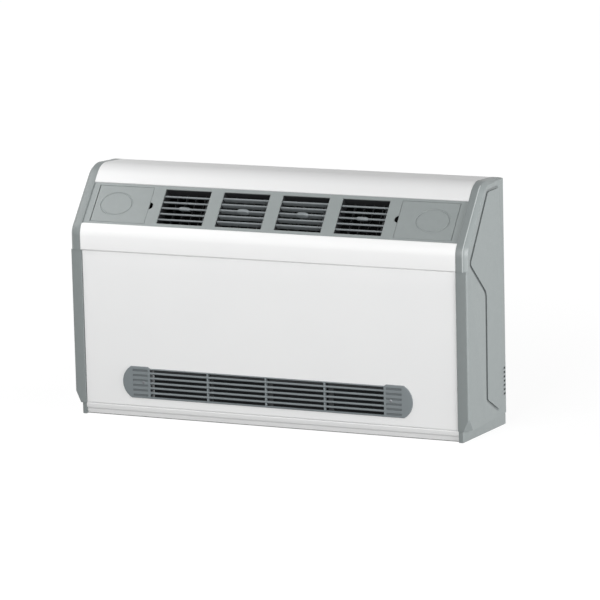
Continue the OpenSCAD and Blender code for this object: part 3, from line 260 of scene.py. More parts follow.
def drawn_metal(name, colour, stain, rough, stretch, lines=500.0):
    """Bright metal with fine lines along its length, and a thin stain in blotches 3 cm wide."""
    metal = Finish(name, Metallic=1.0)
    blotch = metal.ramp(metal.noise(32.0, 4.0), 0.48, 0.72)
    grain = metal.noise(lines, 2.0, stretch)
    tint = metal.blend(blotch * 0.6 + grain * 0.2, colour, stain)
    metal.feed(Base_Color=tint, Roughness=grain * 0.15 + rough)
    return metal.relief(grain, 0.1, 0.0003)


def enamelled(name, colour):
    """Sprayed enamel: an even dark colour with specks of dust and a soft orange peel."""
    coat = Finish(name, Coat_Weight=0.25, Coat_Roughness=0.2)
    dust = coat.ramp(coat.noise(260.0, 4.0), 0.58, 0.8)
    dusty = tuple(c * 2.2 + 0.02 for c in colour)
    coat.feed(Base_Color=coat.blend(dust * 0.5, colour, dusty), Roughness=coat.noise(60.0) * 0.15 + 0.38)
    return coat.relief(coat.noise(700.0), 0.1, 0.0005)


THREAD_PITCH = 0.0022


def filter_weave(name, thread, gap):
    """Threads cross every THREAD_PITCH: the height is the larger of two sine waves, along X and Z."""
    cloth = Finish(name, Specular_IOR_Level=0.2, Roughness=0.9)
    axes = cloth.node("SeparateXYZ", {"Vector": cloth.place}).socket.node.outputs
    turns = [Tone(cloth, axes[k]) * (2 * math.pi / THREAD_PITCH) for k in (0, 2)]
    waves = [cloth.node("Math", {0: turn}, operation="SINE") * 0.5 + 0.5 for turn in turns]
    weave = waves[0].with_node("MAXIMUM", waves[1])
    cloth.feed(Base_Color=cloth.blend(weave ** 3.0, gap, thread))
    return cloth.relief(weave, 0.4, 0.0006)


DRAWN = {
    # The fins' near-black colour is partly a dark coating and partly painted shade of the coil inside the
    # cabinet.
    "fin_aluminium": ("fin_aluminium", (0.085, 0.090, 0.095), (0.06, 0.063, 0.066), 0.5, (1, 1, 0.1)),
    "tube_copper": ("tube_copper", (0.80, 0.42, 0.28), (0.42, 0.20, 0.13), 0.26, (0.06, 1, 1)),
    "valve_brass": ("valve_brass", (0.76, 0.58, 0.26), (0.50, 0.36, 0.16), 0.28, (1, 1, 0.1)),
    "shaft_steel": ("turned_steel", (0.62, 0.62, 0.62), (0.45, 0.43, 0.41), 0.24, (8, 1, 1), 220.0),
    "dark_screw": ("blackened_screw", (0.20, 0.21, 0.22), (0.13, 0.13, 0.14), 0.5, (1, 1, 1)),
}
FINISHES.update({slot: drawn_metal(*parts) for slot, parts in DRAWN.items()})
FINISHES.update({
    "chassis_steel": galvanised("galvanised_sheet", (0.60, 0.61, 0.62), INSIDE_SHADE_BLACK),
    "motor_paint": enamelled("motor_enamel", (0.030, 0.032, 0.036)),
    # The cloth's near-black colour is painted shade behind the grille's slats.
    "filter_cloth": filter_weave("filter_weave", (0.028, 0.030, 0.032), (0.006, 0.006, 0.007)),
})
print("finishes", len(FINISHES))

# %% [markdown]
# ## From numbers to meshes
# Every new surface is a grid of points. A helper numbers its quads, another joins several grids
# into one object, merges the points that coincide and turns all faces outwards. Sharp edges are
# marked by angle, so round parts shade smoothly.


# %% Points
def spread(*axes):
    """Coordinates stretched to one common shape and stacked as points."""
    return np.stack(np.broadcast_arrays(*axes), -1)


def with_depth(plan, y):
    """A plan of pairs (x, z) as points at depth y."""
    return spread(plan[..., 0], y, plan[..., 1])


def unit(vectors):
    return vectors / np.maximum(np.linalg.norm(vectors, axis=-1, keepdims=True), 1e-9)


def circle(count):
    """Angles once round, without the last one, which is the first."""
    return np.linspace(0, 2 * math.pi, count, endpoint=False)


def turned(plane, angle):
    """Pairs (u, v) turned by the angle from u towards v."""
    u, v = plane[..., 0], plane[..., 1]
    return spread(u * math.cos(angle) - v * math.sin(angle), u * math.sin(angle) + v * math.cos(angle))


# %% Grids and pieces
SHARP, BEVEL_ANGLE = math.radians(32), math.radians(40)
TOUCH = 2e-6


def quads(rows, cols, wrap_rows=False, wrap_cols=False):
    """Corner numbers of the quads of a rows x cols grid, closed on itself where a wrap is asked for."""
    r = np.arange(rows if wrap_rows else rows - 1)[:, None]
    c = np.arange(cols if wrap_cols else cols - 1)[None, :]
    r_next, c_next = (r + 1) % rows, (c + 1) % cols
    corners = [r * cols + c, r * cols + c_next, r_next * cols + c_next, r_next * cols + c]
    return spread(*corners).reshape(-1, 4)


def sheet(points, wrap_rows=False, wrap_cols=False, keep=None):
    """A grid of points (rows, cols, 3) as (points, faces); keep is a mask of the quads that stay."""
    rows, cols = points.shape[:2]
    faces = quads(rows, cols, wrap_rows, wrap_cols)
    if keep is not None:
        faces = faces[keep.ravel()]
    return points.reshape(-1, 3), faces.tolist()


def tube(points):
    """A stack of closed loops (rows, cols, 3), closed at both ends by one flat face each."""
    rows, cols = points.shape[:2]
    flat, sides = sheet(points, wrap_cols=True)
    end = np.arange(cols)
    return flat, [*sides, end[::-1].tolist(), (end + (rows - 1) * cols).tolist()]


def raised(plan, heights):
    """A closed plan (x, y) carried up through the heights."""
    return tube(spread(plan[:, 0], plan[:, 1], np.asarray(heights, float)[:, None]))


def mesh_from(blocks):
    """One mesh from several (points, faces) blocks in millimetres, merged, cleaned and facing outwards."""
    shape = bmesh.new()
    for points, faces in blocks:
        block = bpy.data.meshes.new("block")
        block.from_pydata((points * MM).tolist(), [], faces)
        shape.from_mesh(block)
        bpy.data.meshes.remove(block)
    bmesh.ops.remove_doubles(shape, verts=shape.verts, dist=TOUCH)
    bmesh.ops.dissolve_degenerate(shape, edges=shape.edges, dist=TOUCH)
    bmesh.ops.recalc_face_normals(shape, faces=shape.faces)
    mesh = bpy.data.meshes.new("piece")
    shape.to_mesh(mesh)
    shape.free()
    return mesh


def shade(mesh, angle):
    mesh.shade_smooth()
    mesh.set_sharp_from_angle(angle=angle)


def face_middles(mesh):
    return np.array([face.center for face in mesh.polygons]) / MM


def face_normals(mesh):
    return np.array([face.normal for face in mesh.polygons])


def mark(mesh, name, chosen):
    """Gives every face the named attribute: 1 where chosen, 0 elsewhere."""
    mesh.attributes.new(name, "FLOAT", "FACE").data.foreach_set("value", chosen.astype(np.float32))


def place(name, mesh, node, slot, finish=None, stands=True, sharp=SHARP):
    """Makes the object with its finish, named by finish or else by slot. It rides on the node's body, in
    the node's stead where it stands for it; edges are smooth up to the sharp angle, or all flat where that
    is None."""
    if sharp:
        shade(mesh, sharp)
    mesh.name = name
    piece = linked(name, mesh)
    mesh.materials.clear()
    mesh.materials.append(FINISHES[finish or slot].material)
    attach(piece, BODY_OF[node])
    if stands:
        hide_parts(node)
    return piece


def cut_from(mesh, cutter):
    """Subtracts one closed mesh from another with Blender's exact boolean and returns the result."""
    base, tool = linked("base", mesh), linked("tool", cutter)
    boolean = base.modifiers.new("cut", "BOOLEAN")
    boolean.operation, boolean.solver, boolean.object = "DIFFERENCE", "EXACT", tool
    bpy.context.view_layer.update()
    graph = bpy.context.evaluated_depsgraph_get()
    result = bpy.data.meshes.new_from_object(base.evaluated_get(graph))
    for item in (base, tool):
        bpy.data.objects.remove(item)
    return result


def soften(piece, width):
    """A narrow rounded bevel on every edge sharper than BEVEL_ANGLE, width in millimetres."""
    bevel = piece.modifiers.new("edge", "BEVEL")
    bevel.width, bevel.segments, bevel.limit_method = width * MM, 2, "ANGLE"
    bevel.angle_limit = BEVEL_ANGLE
    bevel.use_clamp_overlap = True


# %% [markdown]
# ## Lines of the side view
# The cabinet's outline is upright, leans back at the kink, rounds over the crest and falls a little
# towards the wall. Rails, band and end caps all follow it, so its sizes are written once, as in the
# CAD source.

# %% Sizes of the side view
FRONT_Y, BACK_Y, KINK_H, CABINET_H = -111.5, 111.5, 440.5, 578.0
SLOPE, TOP_FALL = math.radians(50.4), math.radians(3.5)
CREST_R, KINK_R = 54.0, 45.0
CAP_X, CABINET_X = 473.0, 500.0
UP_SLOPE = np.array([math.cos(SLOPE), math.sin(SLOPE)])
OUT_OF_SLOPE = np.array([-math.sin(SLOPE), math.cos(SLOPE)])
KINK = np.array([FRONT_Y, KINK_H])
KINK_C = np.array([FRONT_Y + KINK_R, KINK_H - KINK_R * math.tan((math.pi / 2 - SLOPE) / 2)])
CREST_RISE = CABINET_H - CREST_R - KINK_H
CREST_Y = FRONT_Y + (CREST_R + CREST_RISE * math.cos(SLOPE)) / math.sin(SLOPE)
CREST_C = np.array([CREST_Y, CABINET_H - CREST_R])
BAND_H, DECK_LO, DECK_HI, RAIL_LIP, RAIL_T, TOP_HEM = 392.0, 19.5, 129.1, 12.0, 2.0, 14.0
DECK_MID = (DECK_LO + DECK_HI) / 2


def on_slope_line(t, n):
    """Side-view point t up the slope from the kink and n out of it."""
    return KINK + np.multiply.outer(t, UP_SLOPE) + np.multiply.outer(n, OUT_OF_SLOPE)


def from_slope(points):
    """Points (x, t, n) of the slope's own frame as (x, y, z)."""
    side = on_slope_line(points[..., 1], points[..., 2])
    return np.concatenate([points[..., :1], side], -1)


def arc(centre, radius, start, stop, count):
    """Points at centre + radius (cos a, sin a), with a going evenly from start to stop in radians."""
    a = np.linspace(start, stop, count)
    return np.asarray(centre) + radius * spread(np.cos(a), np.sin(a))


def top_height(y, inset):
    """Height of the top's falling stretch at depth y, for a skin set in by inset."""
    start = CREST_C[0] + (CREST_R - inset) * math.sin(TOP_FALL)
    return CREST_C[1] + (CREST_R - inset) * math.cos(TOP_FALL) - (y - start) * math.tan(TOP_FALL)


def rounded(corners, radii, steps=6):
    """Each corner becomes an arc tangent to its two sides: the centre lies radius / sin(half) along
    the bisector, and a spoke turns evenly from one tangent point to the other. Radius 0 keeps the
    corner."""
    p, r = np.asarray(corners, float), np.asarray(radii, float)[:, None]
    a, b = unit(np.roll(p, 1, 0) - p), unit(np.roll(p, -1, 0) - p)
    half = np.arccos(np.clip((a * b).sum(1, keepdims=True), -1, 1)) / 2
    half = np.maximum(half, 1e-3)
    centre = p + unit(a + b) * r / np.sin(half)
    spoke = p + a * r / np.tan(half) - centre
    end = p + b * r / np.tan(half) - centre
    turn = (math.pi - 2 * half[:, 0]) * np.sign(spoke[:, 0] * end[:, 1] - spoke[:, 1] * end[:, 0])
    angle = turn[:, None] * np.linspace(0, 1, steps)
    x = centre[:, :1] + spoke[:, :1] * np.cos(angle) - spoke[:, 1:] * np.sin(angle)
    y = centre[:, 1:] + spoke[:, :1] * np.sin(angle) + spoke[:, 1:] * np.cos(angle)
    return spread(x, y).reshape(-1, 2)


print("crest centre", CREST_C.round(2), "kink centre", KINK_C.round(2))

# %% [markdown]
# ## Rails, band and base
# These are strips of sheet metal bent on a press brake. A bent strip is one line of the side view
# carried along X, with a second line one sheet thickness behind it, which is simpler than bending a
# mesh and exact at every corner.


# %% Bent strips
def thickened(line, thick):
    """The line, then the same line moved thick to its right and run backwards: a loop round a sheet."""
    step = unit(np.gradient(line, axis=0))
    behind = line + thick * spread(step[:, 1], -step[:, 0])
    return np.concatenate([line, behind[::-1]])


def carried(loop, stations):
    """A side-view loop (y, z) repeated at each X station: points (stations, loop, 3)."""
    return spread(np.asarray(stations, float)[:, None], loop[:, 0], loop[:, 1])


def strip_ends(loop_length, rows):
    """Quads across the two ends of a thickened strip: point i faces point n - 1 - i."""
    i = np.arange(loop_length // 2 - 1)
    end = np.stack([i, i + 1, loop_length - 2 - i, loop_length - 1 - i], -1)
    return np.concatenate([end, end[:, ::-1] + (rows - 1) * loop_length])


def bent_strip(line):
    """The line as a sheet RAIL_T thick, carried from cap to cap."""
    loop = thickened(line, RAIL_T)
    stations = np.linspace(-CAP_X, CAP_X, 9)
    points, faces = sheet(carried(loop, stations), wrap_cols=True)
    return points, faces + strip_ends(len(loop), len(stations)).tolist()


def without_repeats(line):
    """Drops points that coincide with the one before them."""
    apart = np.linalg.norm(np.diff(line, axis=0), axis=1) > 1e-6
    return line[np.concatenate([[True], apart])]


# %% Top rail, front band and base rail
EDGE_R, HEM_R = 2.6, 3.2
crest = arc(CREST_C, CREST_R, math.pi / 2 + SLOPE, math.pi / 2 - TOP_FALL, 40)
wall_top = [BACK_Y, top_height(BACK_Y, 0)]
lip = rounded([on_slope_line(DECK_HI, -RAIL_LIP), on_slope_line(DECK_HI, 0), crest[0]], [0, EDGE_R, 0])
hem = rounded([crest[-1], wall_top, [BACK_Y, wall_top[1] - TOP_HEM]], [0, HEM_R, 0])

kink = arc(KINK_C, KINK_R, math.pi, math.pi / 2 + SLOPE, 28)
foot = rounded([[FRONT_Y + RAIL_LIP, BAND_H], [FRONT_Y, BAND_H], kink[0]], [0, EDGE_R, 0])
brow = rounded([kink[-1], on_slope_line(DECK_LO, 0), on_slope_line(DECK_LO, -RAIL_LIP)], [0, EDGE_R, 0])

PANEL_Y, BASE_H, BASE_LINE, BASE_TOE, BASE_D = -107.5, 27.5, 16.0, 8.0, 26.0
BASE_LEDGE, BASE_LEAN, BASE_STEP, BASE_GAP, BASE_GAP_D = 4.0, 2.0, 5.0, 2.2, 4.0
BASE_R = [0, 0.5, 0.5, 0.8, 0.8, 1.2, 2.2, 0]
toe_y, inner_y = PANEL_Y + BASE_TOE, PANEL_Y + BASE_D
gap_y = toe_y + BASE_GAP_D
base = rounded([[inner_y, 0], [gap_y, 0], [gap_y, BASE_GAP], [toe_y, BASE_GAP],
                [toe_y - BASE_LEAN, BASE_LINE - BASE_LEDGE], [toe_y - BASE_STEP, BASE_LINE],
                [PANEL_Y, BASE_H], [inner_y, BASE_H]], BASE_R)

STRIPS = {
    # All three strips are the same white sheet; the band's finish carries painted light and the rail's
    # painted shade.
    "top_rail": ([lip, crest, hem], "rail_painted_shade"),
    "front_band": ([foot, kink, brow], "band_painted_light"),
    "base_rail": ([base], "cabinet_white"),
}
strips = {}
for node, (parts, finish) in STRIPS.items():
    strip_mesh = mesh_from([bent_strip(without_repeats(np.concatenate(parts)))])
    strips[node] = place(f"{node}_sheet", strip_mesh, node, "cabinet_white", finish)
base_mesh = strips["base_rail"].data
# Painted shade in the gap under the toe.
mark(base_mesh, "painted_shade_and_ink", face_middles(base_mesh)[:, 2] < BASE_GAP)
print("bent strips", [len(s.data.polygons) for s in strips.values()])

# %% [markdown]
# ## Front panel
# One folded sheet with a long opening for the grille. Seen as a grid it has two directions: round
# the opening, and from the opening's edge out to the fold. The fold is a quarter circle and a short
# flange; Solidify gives the sheet.

# %% Front panel
PANEL_X, PANEL_T, PANEL_FOLD, PANEL_R, PANEL_GAP = 471.8, 1.2, 9.0, 2.4, 0.2
PANEL_LOW, PANEL_HIGH = BASE_H + PANEL_GAP, BAND_H - PANEL_GAP
INLET_X, INLET_W, INLET_H, INLET_Z, INLET_BULGE, OVERLAP = -5.5, 736.0, 75.0, 85.5, 22.0, 4.0
OPEN_LOW, OPEN_HIGH, HOLE_EDGE = 49.0, 119.0, 0.004


def inlet_end(z, inset):
    """|x| of the grille's bowed end at height z: a circle through the corners and the bulge."""
    h = INLET_H / 2 - inset
    bow = INLET_BULGE * h / (INLET_H / 2)
    r = (h * h + bow * bow) / (2 * bow)
    return INLET_W / 2 - inset - r + np.sqrt(r * r - np.clip(z - INLET_Z, -h, h) ** 2)


def round_the_panel(count=24):
    """The opening's edge and the panel's edge, point for point: right side, top, left side, bottom."""
    s = np.linspace(0, 1, count, endpoint=False)
    side_z = OPEN_LOW + (OPEN_HIGH - OPEN_LOW) * s
    corner = float(inlet_end(np.array(OPEN_HIGH), OVERLAP))
    top_x = corner - 2 * corner * s
    hole = np.concatenate([
        spread(inlet_end(side_z, OVERLAP), side_z),
        spread(top_x, OPEN_HIGH),
        spread(-inlet_end(side_z[::-1], OVERLAP), OPEN_LOW + OPEN_HIGH - side_z),
        spread(-top_x, OPEN_LOW)]) + [INLET_X, 0]
    u = 2 * s - 1
    edge = np.concatenate([spread(1, u), spread(-u, 1), spread(-1, -u), spread(u, -1)])
    return hole, edge


def panel_grid():
    """Rows: straight from the opening to the fold, a quarter circle of PANEL_R, then the flange."""
    hole, edge = round_the_panel()
    middle = np.array([0, (PANEL_LOW + PANEL_HIGH) / 2])
    half = np.array([PANEL_X, (PANEL_HIGH - PANEL_LOW) / 2])
    a = np.linspace(0, math.pi / 2, 7)
    insets = np.concatenate([PANEL_R * (1 - np.sin(a)), [0.0]])
    depths = np.concatenate([PANEL_R * (1 - np.cos(a)), [PANEL_FOLD]])
    rim = middle + edge[None] * (half - insets[:, None, None])
    ways = np.concatenate([[0, HOLE_EDGE], np.linspace(0, 1, 8)[1:-1]])[:, None, None]
    flat = hole + ways * (rim[0] - hole)
    plan = np.concatenate([flat, rim])
    y = PANEL_Y + np.concatenate([np.zeros(len(ways)), depths])
    return with_depth(plan, y[:, None])


def turned_to(mesh, direction):
    """Flips an open sheet if most of it faces away from the direction."""
    areas = np.array([face.area for face in mesh.polygons])
    if (face_normals(mesh) @ np.asarray(direction) * areas).sum() < 0:
        mesh.flip_normals()
    return mesh


panel_mesh = turned_to(mesh_from([sheet(panel_grid(), wrap_cols=True)]), (0, -1, 0))
front_panel = place("front_panel_sheet", panel_mesh, "front_panel", "cabinet_white")
gauge = front_panel.modifiers.new("gauge", "SOLIDIFY")
gauge.thickness, gauge.offset = PANEL_T * MM, -1.0
print("front panel", len(panel_mesh.polygons), "quads")

# %% [markdown]
# ## End caps
# Each cap is one injection moulding: a rim against the cabinet, a flat strip, a wide bevel and an
# upright side with a groove. Its section changes below the band, where a corner post laps over the
# panel. The skin is a stack of loops: one direction runs along the section, the other round the
# side view. Groove, comb and corner facet are cut afterwards.

# %% Section and side view of a cap
SEAM, CAP_LOW, CAP_BEVEL, CAP_BEVEL_END = 391.8, 27.0, 9.0, 1.5
FOOT_Y, FOOT_BACK, FOOT_W, FOOT_WALL_W, FOOT_LAP = PANEL_Y + 1, BACK_Y - 0.3, 11.0, 26.0, 0.4
CAVITY_D, CAVITY_X, CAVITY_E, CAVITY_POINTS = 15.5, 491.5, 7.0, 12
BEVEL_X, SIDE_D, RIM_D = 491.0, 15.0, 12.0
POST_IN, POST_OUT, POST_D, POST_EDGE, POST_LIP, POST_ROWS = 472.0, 497.0, 1.5, 4.5, 0.5, 14
SECTION_HIGH = [[CAVITY_X, CAVITY_D], [CAP_X, CAVITY_D], [CAP_X, RIM_D], [CAP_X, 0], [BEVEL_X, 0],
                [CABINET_X, CAP_BEVEL], [CABINET_X, SIDE_D]]
SECTION_LOW = [[CAVITY_X, CAVITY_D], [CAP_X, CAVITY_D], [POST_IN, CAVITY_D - POST_LIP], [POST_IN, POST_D],
               [POST_OUT, POST_D], [CABINET_X, POST_EDGE], [CABINET_X, SIDE_D]]
SECTION_R_HIGH, SECTION_R_LOW = [0, 0, 0, 1.4, 7.0, 3.0, 0], [0, 0, 0, 1.4, 2.2, 2.6, 0]


def cap_loop(inset, wall, low):
    """Closed side view set in by inset in front and on top, by wall at the wall: front, kink, slope,
    crest, top, wall edge and bottom edge, with the same number of points for every inset. On the top
    of the outer skin the inset fades in proportion towards the wall, so that the bevel runs out."""
    z = np.concatenate([np.linspace(low, SEAM, POST_ROWS), np.linspace(SEAM, KINK_C[1], 4)[:-1]])
    front = spread(FRONT_Y + inset, z)
    bend = arc(KINK_C, KINK_R - inset, math.pi, math.pi / 2 + SLOPE, 20)
    over = arc(CREST_C, CREST_R - inset, math.pi / 2 + SLOPE, math.pi / 2 - TOP_FALL, 30)
    y = np.linspace(over[-1, 0], BACK_Y - wall, 5)[1:]
    faded = inset * CAP_BEVEL_END / CAP_BEVEL if wall == 0 else inset
    fade = (y - over[-1, 0]) / (BACK_Y - wall - over[-1, 0])
    top = spread(y, top_height(y, inset + (faded - inset) * fade))
    rear = spread(BACK_Y - wall, np.linspace(top[-1, 1], low, 8)[1:-1])
    bottom = spread(np.linspace(BACK_Y - wall, FRONT_Y + inset, 8)[:-1], low)
    return np.concatenate([front, bend, over, top, rear, bottom])


def cap_skin():
    """Loops along the section; points of the front below the seam take the lower section instead."""
    skins = []
    for corners, radii in ((SECTION_HIGH, SECTION_R_HIGH), (SECTION_LOW, SECTION_R_LOW)):
        section = rounded(corners, radii)
        ends = CAVITY_E * (np.arange(len(section)) < CAVITY_POINTS)
        loops = np.stack([cap_loop(d, end, CAP_LOW + end) for d, end in zip(section[:, 1], ends)])
        skins.append(spread(section[:, None, 0], loops[..., 0], loops[..., 1]))
    upper, lower = skins
    post = np.arange(upper.shape[1]) < POST_ROWS
    return np.where(post[None, :, None], lower, upper)


def swept(path, section):
    """A closed section (u, v) carried along a path of (y, z) points: u across the path, v along X."""
    step = unit(np.gradient(path, axis=0))
    across = spread(-step[:, 1], step[:, 0])
    side = path[:, None] + section[None, :, :1] * across[:, None]
    return spread(section[:, 1], side[..., 0], side[..., 1])


GROOVE = [[86, 556], [20, 556], [-86, 412], [-86, 402], [3, 325], [1, 77], [70, 40]]
GROOVE_R = [0, 13, 9, 9, 26, 13, 0]
GROOVE_LINE = without_repeats(rounded(GROOVE, GROOVE_R, 8))
GROOVE_D, GROOVE_RUN_OUT = 3.5, 16.0
KEEL = np.array([[-15, 0], [-8.5, 0.6], [-3.2, 1.4], [-2.3, 3.1],
                 [-1.6, GROOVE_D], [1.6, GROOVE_D], [2.2, 3.2], [2.8, 0]])
KEEL_TOP, KEEL_LIFT = 3.0, 0.02
# Faces of the groove's bed within these limits take a darker grey: painted shade.
SUNK_D, SUNK_REACH, SUNK_STEP, SUNK_SLACK, GROOVE_LENGTH = 1.5, 7.0, 4.0, 0.2, 1000.0
# Limits of the faces that get a painted highlight along the round between strip and bevel.
HIGHLIGHT_X, HIGHLIGHT_LEAN, HIGHLIGHT_FRONT = (486.0, 496.0), (0.14, 0.5), -0.45
COMB_Z, COMB_PITCH, COMB_H, COMB_L, COMB_IN, COMB_SLOTS = 70.0, 10.0, 5.0, 22.5, 1.5, 7
COMB_OPEN, COMB_D, COMB_PAST, COMB_INTO = 9.0, 0.6, 2.0, 1.0
FACET_Y, FACET_TOP, FACET_BACK, FACET_SIDE, FACET_BLOCK = -110.0, 59.0, -88.0, 486.0, 60.0
CAP_SHARP = math.radians(24)


def along_path(line, extra):
    """The line's points with extra ones at the given distances from both ends."""
    run = np.concatenate([[0], np.cumsum(np.linalg.norm(np.diff(line, axis=0), axis=1))])
    spots = np.unique(np.concatenate([run, extra, run[-1] - np.asarray(extra)]).round(4))
    points = spread(*(np.interp(spots, run, line[:, k]) for k in (0, 1)))
    return points, np.minimum(spots, run[-1] - spots)


def groove_cutter():
    """A keel carried along the groove's line: a long easy side towards the front, a deep bed and a
    steep side towards the wall. Its depth follows a quarter sine over GROOVE_RUN_OUT at both ends."""
    path, to_end = along_path(GROOVE_LINE, np.linspace(0, GROOVE_RUN_OUT, 6))
    depth = np.sin(np.clip(to_end / GROOVE_RUN_OUT, 0, 1) * math.pi / 2)
    lid = np.array([[KEEL[-1, 0], -KEEL_TOP], [KEEL[0, 0], -KEEL_TOP]])
    section = np.concatenate([KEEL, lid])
    grid = swept(path, section * [1, -1] + [0, CABINET_X])
    grid[:, :len(KEEL), 0] = CABINET_X + KEEL_LIFT - KEEL[:, 1] * depth[:, None]
    return mesh_from([tube(grid)])


def shaded_groove_bed(mesh):
    """True for the faces that lie near the groove's line and below SUNK_D; they are given painted shade.
    """
    points, _ = along_path(GROOVE_LINE, np.arange(0, GROOVE_LENGTH, SUNK_STEP))
    middles = face_middles(mesh)
    depth = CABINET_X - np.abs(middles[:, 0])
    away = np.linalg.norm(middles[:, None, 1:] - points[None], axis=2).min(1)
    return (depth > SUNK_D) & (depth < GROOVE_D + SUNK_SLACK) & (away < SUNK_REACH)


def highlight_faces(mesh):
    """True for the middle of the round between strip and bevel, from the kink up to the crest; these faces
    get a lighter colour, a painted highlight.
    """
    middles, normals = face_middles(mesh), face_normals(mesh)
    across, lean = np.abs(middles[:, 0]), np.abs(normals[:, 0])
    near = (across > HIGHLIGHT_X[0]) & (across < HIGHLIGHT_X[1]) & (middles[:, 2] > SEAM)
    return near & (lean > HIGHLIGHT_LEAN[0]) & (lean < HIGHLIGHT_LEAN[1]) & (normals[:, 1] < HIGHLIGHT_FRONT)


def comb_cutter():
    """Slots with an L plan, carried up by COMB_H: shallow, then open to the hollow near the wall."""
    back = BACK_Y - COMB_IN
    shelf, mouth = back - COMB_L, back - COMB_OPEN
    outer, inner, bed = CABINET_X + COMB_PAST, CAVITY_X - COMB_INTO, CABINET_X - COMB_D
    plan = np.array([[outer, shelf], [outer, back], [inner, back], [inner, mouth],
                     [bed, mouth], [bed, shelf]])
    lows = COMB_Z + COMB_PITCH * np.arange(COMB_SLOTS)
    return mesh_from([raised(plan, [low, low + COMB_H]) for low in lows])


def foot_block():
    """Plan of the foot, wider towards the wall, carried up from the floor; its lower edge is rounded."""
    corners = [[CAP_X, FOOT_Y], [CAP_X + FOOT_W, FOOT_Y],
               [CAP_X + FOOT_WALL_W, FOOT_BACK], [CAP_X, FOOT_BACK]]
    plan = rounded(corners, [0, 2.5, 1.5, 0])
    z = np.array([0, 0.5, 1.2, CAP_LOW + FOOT_LAP])
    pull = np.array([1.0, 0.3, 0, 0])
    loops = plan + np.sign(plan.mean(0) - plan) * pull[:, None, None] * [1, 0.5]
    return tube(spread(loops[..., 0], loops[..., 1], z[:, None]))


def facet_cutter():
    """A slanted block that takes the lower front corner off, through three points of its edges."""
    top, back, front = np.array([[CABINET_X, FACET_Y, FACET_TOP], [CABINET_X, FACET_BACK, CAP_LOW],
                                 [FACET_SIDE, FACET_Y, CAP_LOW]])
    normal = unit(np.cross(back - top, front - top))
    normal = normal * np.sign(normal[0])
    u = unit(top - back)
    v = np.cross(normal, u)
    square = np.array([[-1, -1], [1, -1], [1, 1], [-1, 1]]) * FACET_BLOCK
    face = top + square[:, :1] * u + square[:, 1:] * v
    return mesh_from([tube(np.stack([face, face + normal * FACET_BLOCK]))])


def end_cap(side, node):
    """The skin with its three cuts and its foot, mirrored to the left where side is -1."""
    mesh = mesh_from([tube(cap_skin())])
    for cutter in (groove_cutter(), comb_cutter(), facet_cutter()):
        mesh = cut_from(mesh, cutter)
    whole = bmesh.new()
    whole.from_mesh(mesh)
    whole.from_mesh(mesh_from([foot_block()]))
    if side < 0:
        bmesh.ops.scale(whole, vec=(-1, 1, 1), verts=whole.verts)
        bmesh.ops.reverse_faces(whole, faces=whole.faces)
    whole.to_mesh(mesh)
    whole.free()
    # Painted shade in the groove's bed.
    mark(mesh, "painted_shade_and_ink", shaded_groove_bed(mesh))
    # Only the right cap gets the painted highlight, as the side lamp is on the right.
    if side > 0:
        mark(mesh, "painted_highlight", highlight_faces(mesh))
    return place(f"{node}_moulding", mesh, node, "cap_grey", sharp=CAP_SHARP)


caps = [end_cap(1, "right_end_cap"), end_cap(-1, "left_end_cap")]
print("end caps", [len(cap.data.polygons) for cap in caps], "faces")

# %% [markdown]
# ## Louvre blades
# A blade has a thick round nose and a thin tail. Its section is carried along X; where the link
# passes, the tail half is cut away, which in the grid is only a clamp of the section's lower half
# between two stations.

# %% Blade surfaces
VENTS, BLADES, VENT_PITCH, VENT_W, VENT_L = 4, 5, 150.0, 118.0, 92.0
CHORD, NOSE_R, TAIL_R, PIVOT_N, PIVOT_R = 15.0, 2.2, 0.9, -13.0, 1.5
CRANK_THROW, CRANK_R, LINK_IN, LINK_T, FRAME_WALL = 6.0, 1.0, 10.0, 2.4, 4.0
TAB_W, TAB_REACH, TAB_BACK, TAB_T = 30.0, 3.4, 5.5, 8.0
TILT_OUTER, TILT_INNER = math.radians(18), math.radians(-8)
BLADE_GAP, NOTCH_GAP, NOTCH_STEP = 0.6, 0.5, 1e-3
PIVOT_ROOT, PIVOT_SHORT, PIN_ROOT = 2.0, 0.5, 0.5
BLADE_L = VENT_W - 2 * BLADE_GAP
LINK_X, NOTCH = VENT_W / 2 - LINK_IN, LINK_T / 2 + NOTCH_GAP


def blade_section():
    """Two arcs joined by tangents: NOSE_R at the top, TAIL_R at the bottom, CHORD long over all."""
    nose, tail = CHORD / 2 - NOSE_R, TAIL_R - CHORD / 2
    lean = math.asin((NOSE_R - TAIL_R) / (nose - tail))
    return np.concatenate([arc([nose, 0], NOSE_R, -math.pi / 2 - lean, math.pi / 2 + lean, 15),
                           arc([tail, 0], TAIL_R, math.pi / 2 + lean, 3 * math.pi / 2 - lean, 9)])[:, ::-1]


def blade_block():
    """Section times X stations; the ends shrink by a round of 0.5 mm, and the notch clamps n to 0."""
    half = BLADE_L / 2
    ends = np.array([0, 0.15, 0.5])
    edges = LINK_X + NOTCH * np.array([-1, -1, 1, 1]) + NOTCH_STEP * np.array([-1, 0, 0, 1])
    stations = np.concatenate([ends - half, [0], edges, half - ends[::-1]])
    size = np.array([0.92, 0.97, 1, 1, 1, 1, 1, 1, 1, 0.97, 0.92])
    grid = carried(blade_section(), stations)
    grid[..., 1:] *= size[:, None, None]
    inside = np.abs(stations - LINK_X) < NOTCH + NOTCH_STEP / 2
    grid[inside, :, 2] = np.maximum(grid[inside, :, 2], 0)
    return tube(grid)


def rod_block(x0, x1, radius, n=0.0):
    """A cylinder along X with a small round at both ends."""
    ease, a = min(0.3, radius / 3), circle(20)
    grid = carried(spread(np.cos(a), np.sin(a)), [x0, x0 + ease, x1 - ease, x1])
    grid[..., 1:] *= (radius - np.array([ease, 0, 0, ease]))[:, None, None]
    grid[..., 2] += n
    return tube(grid)


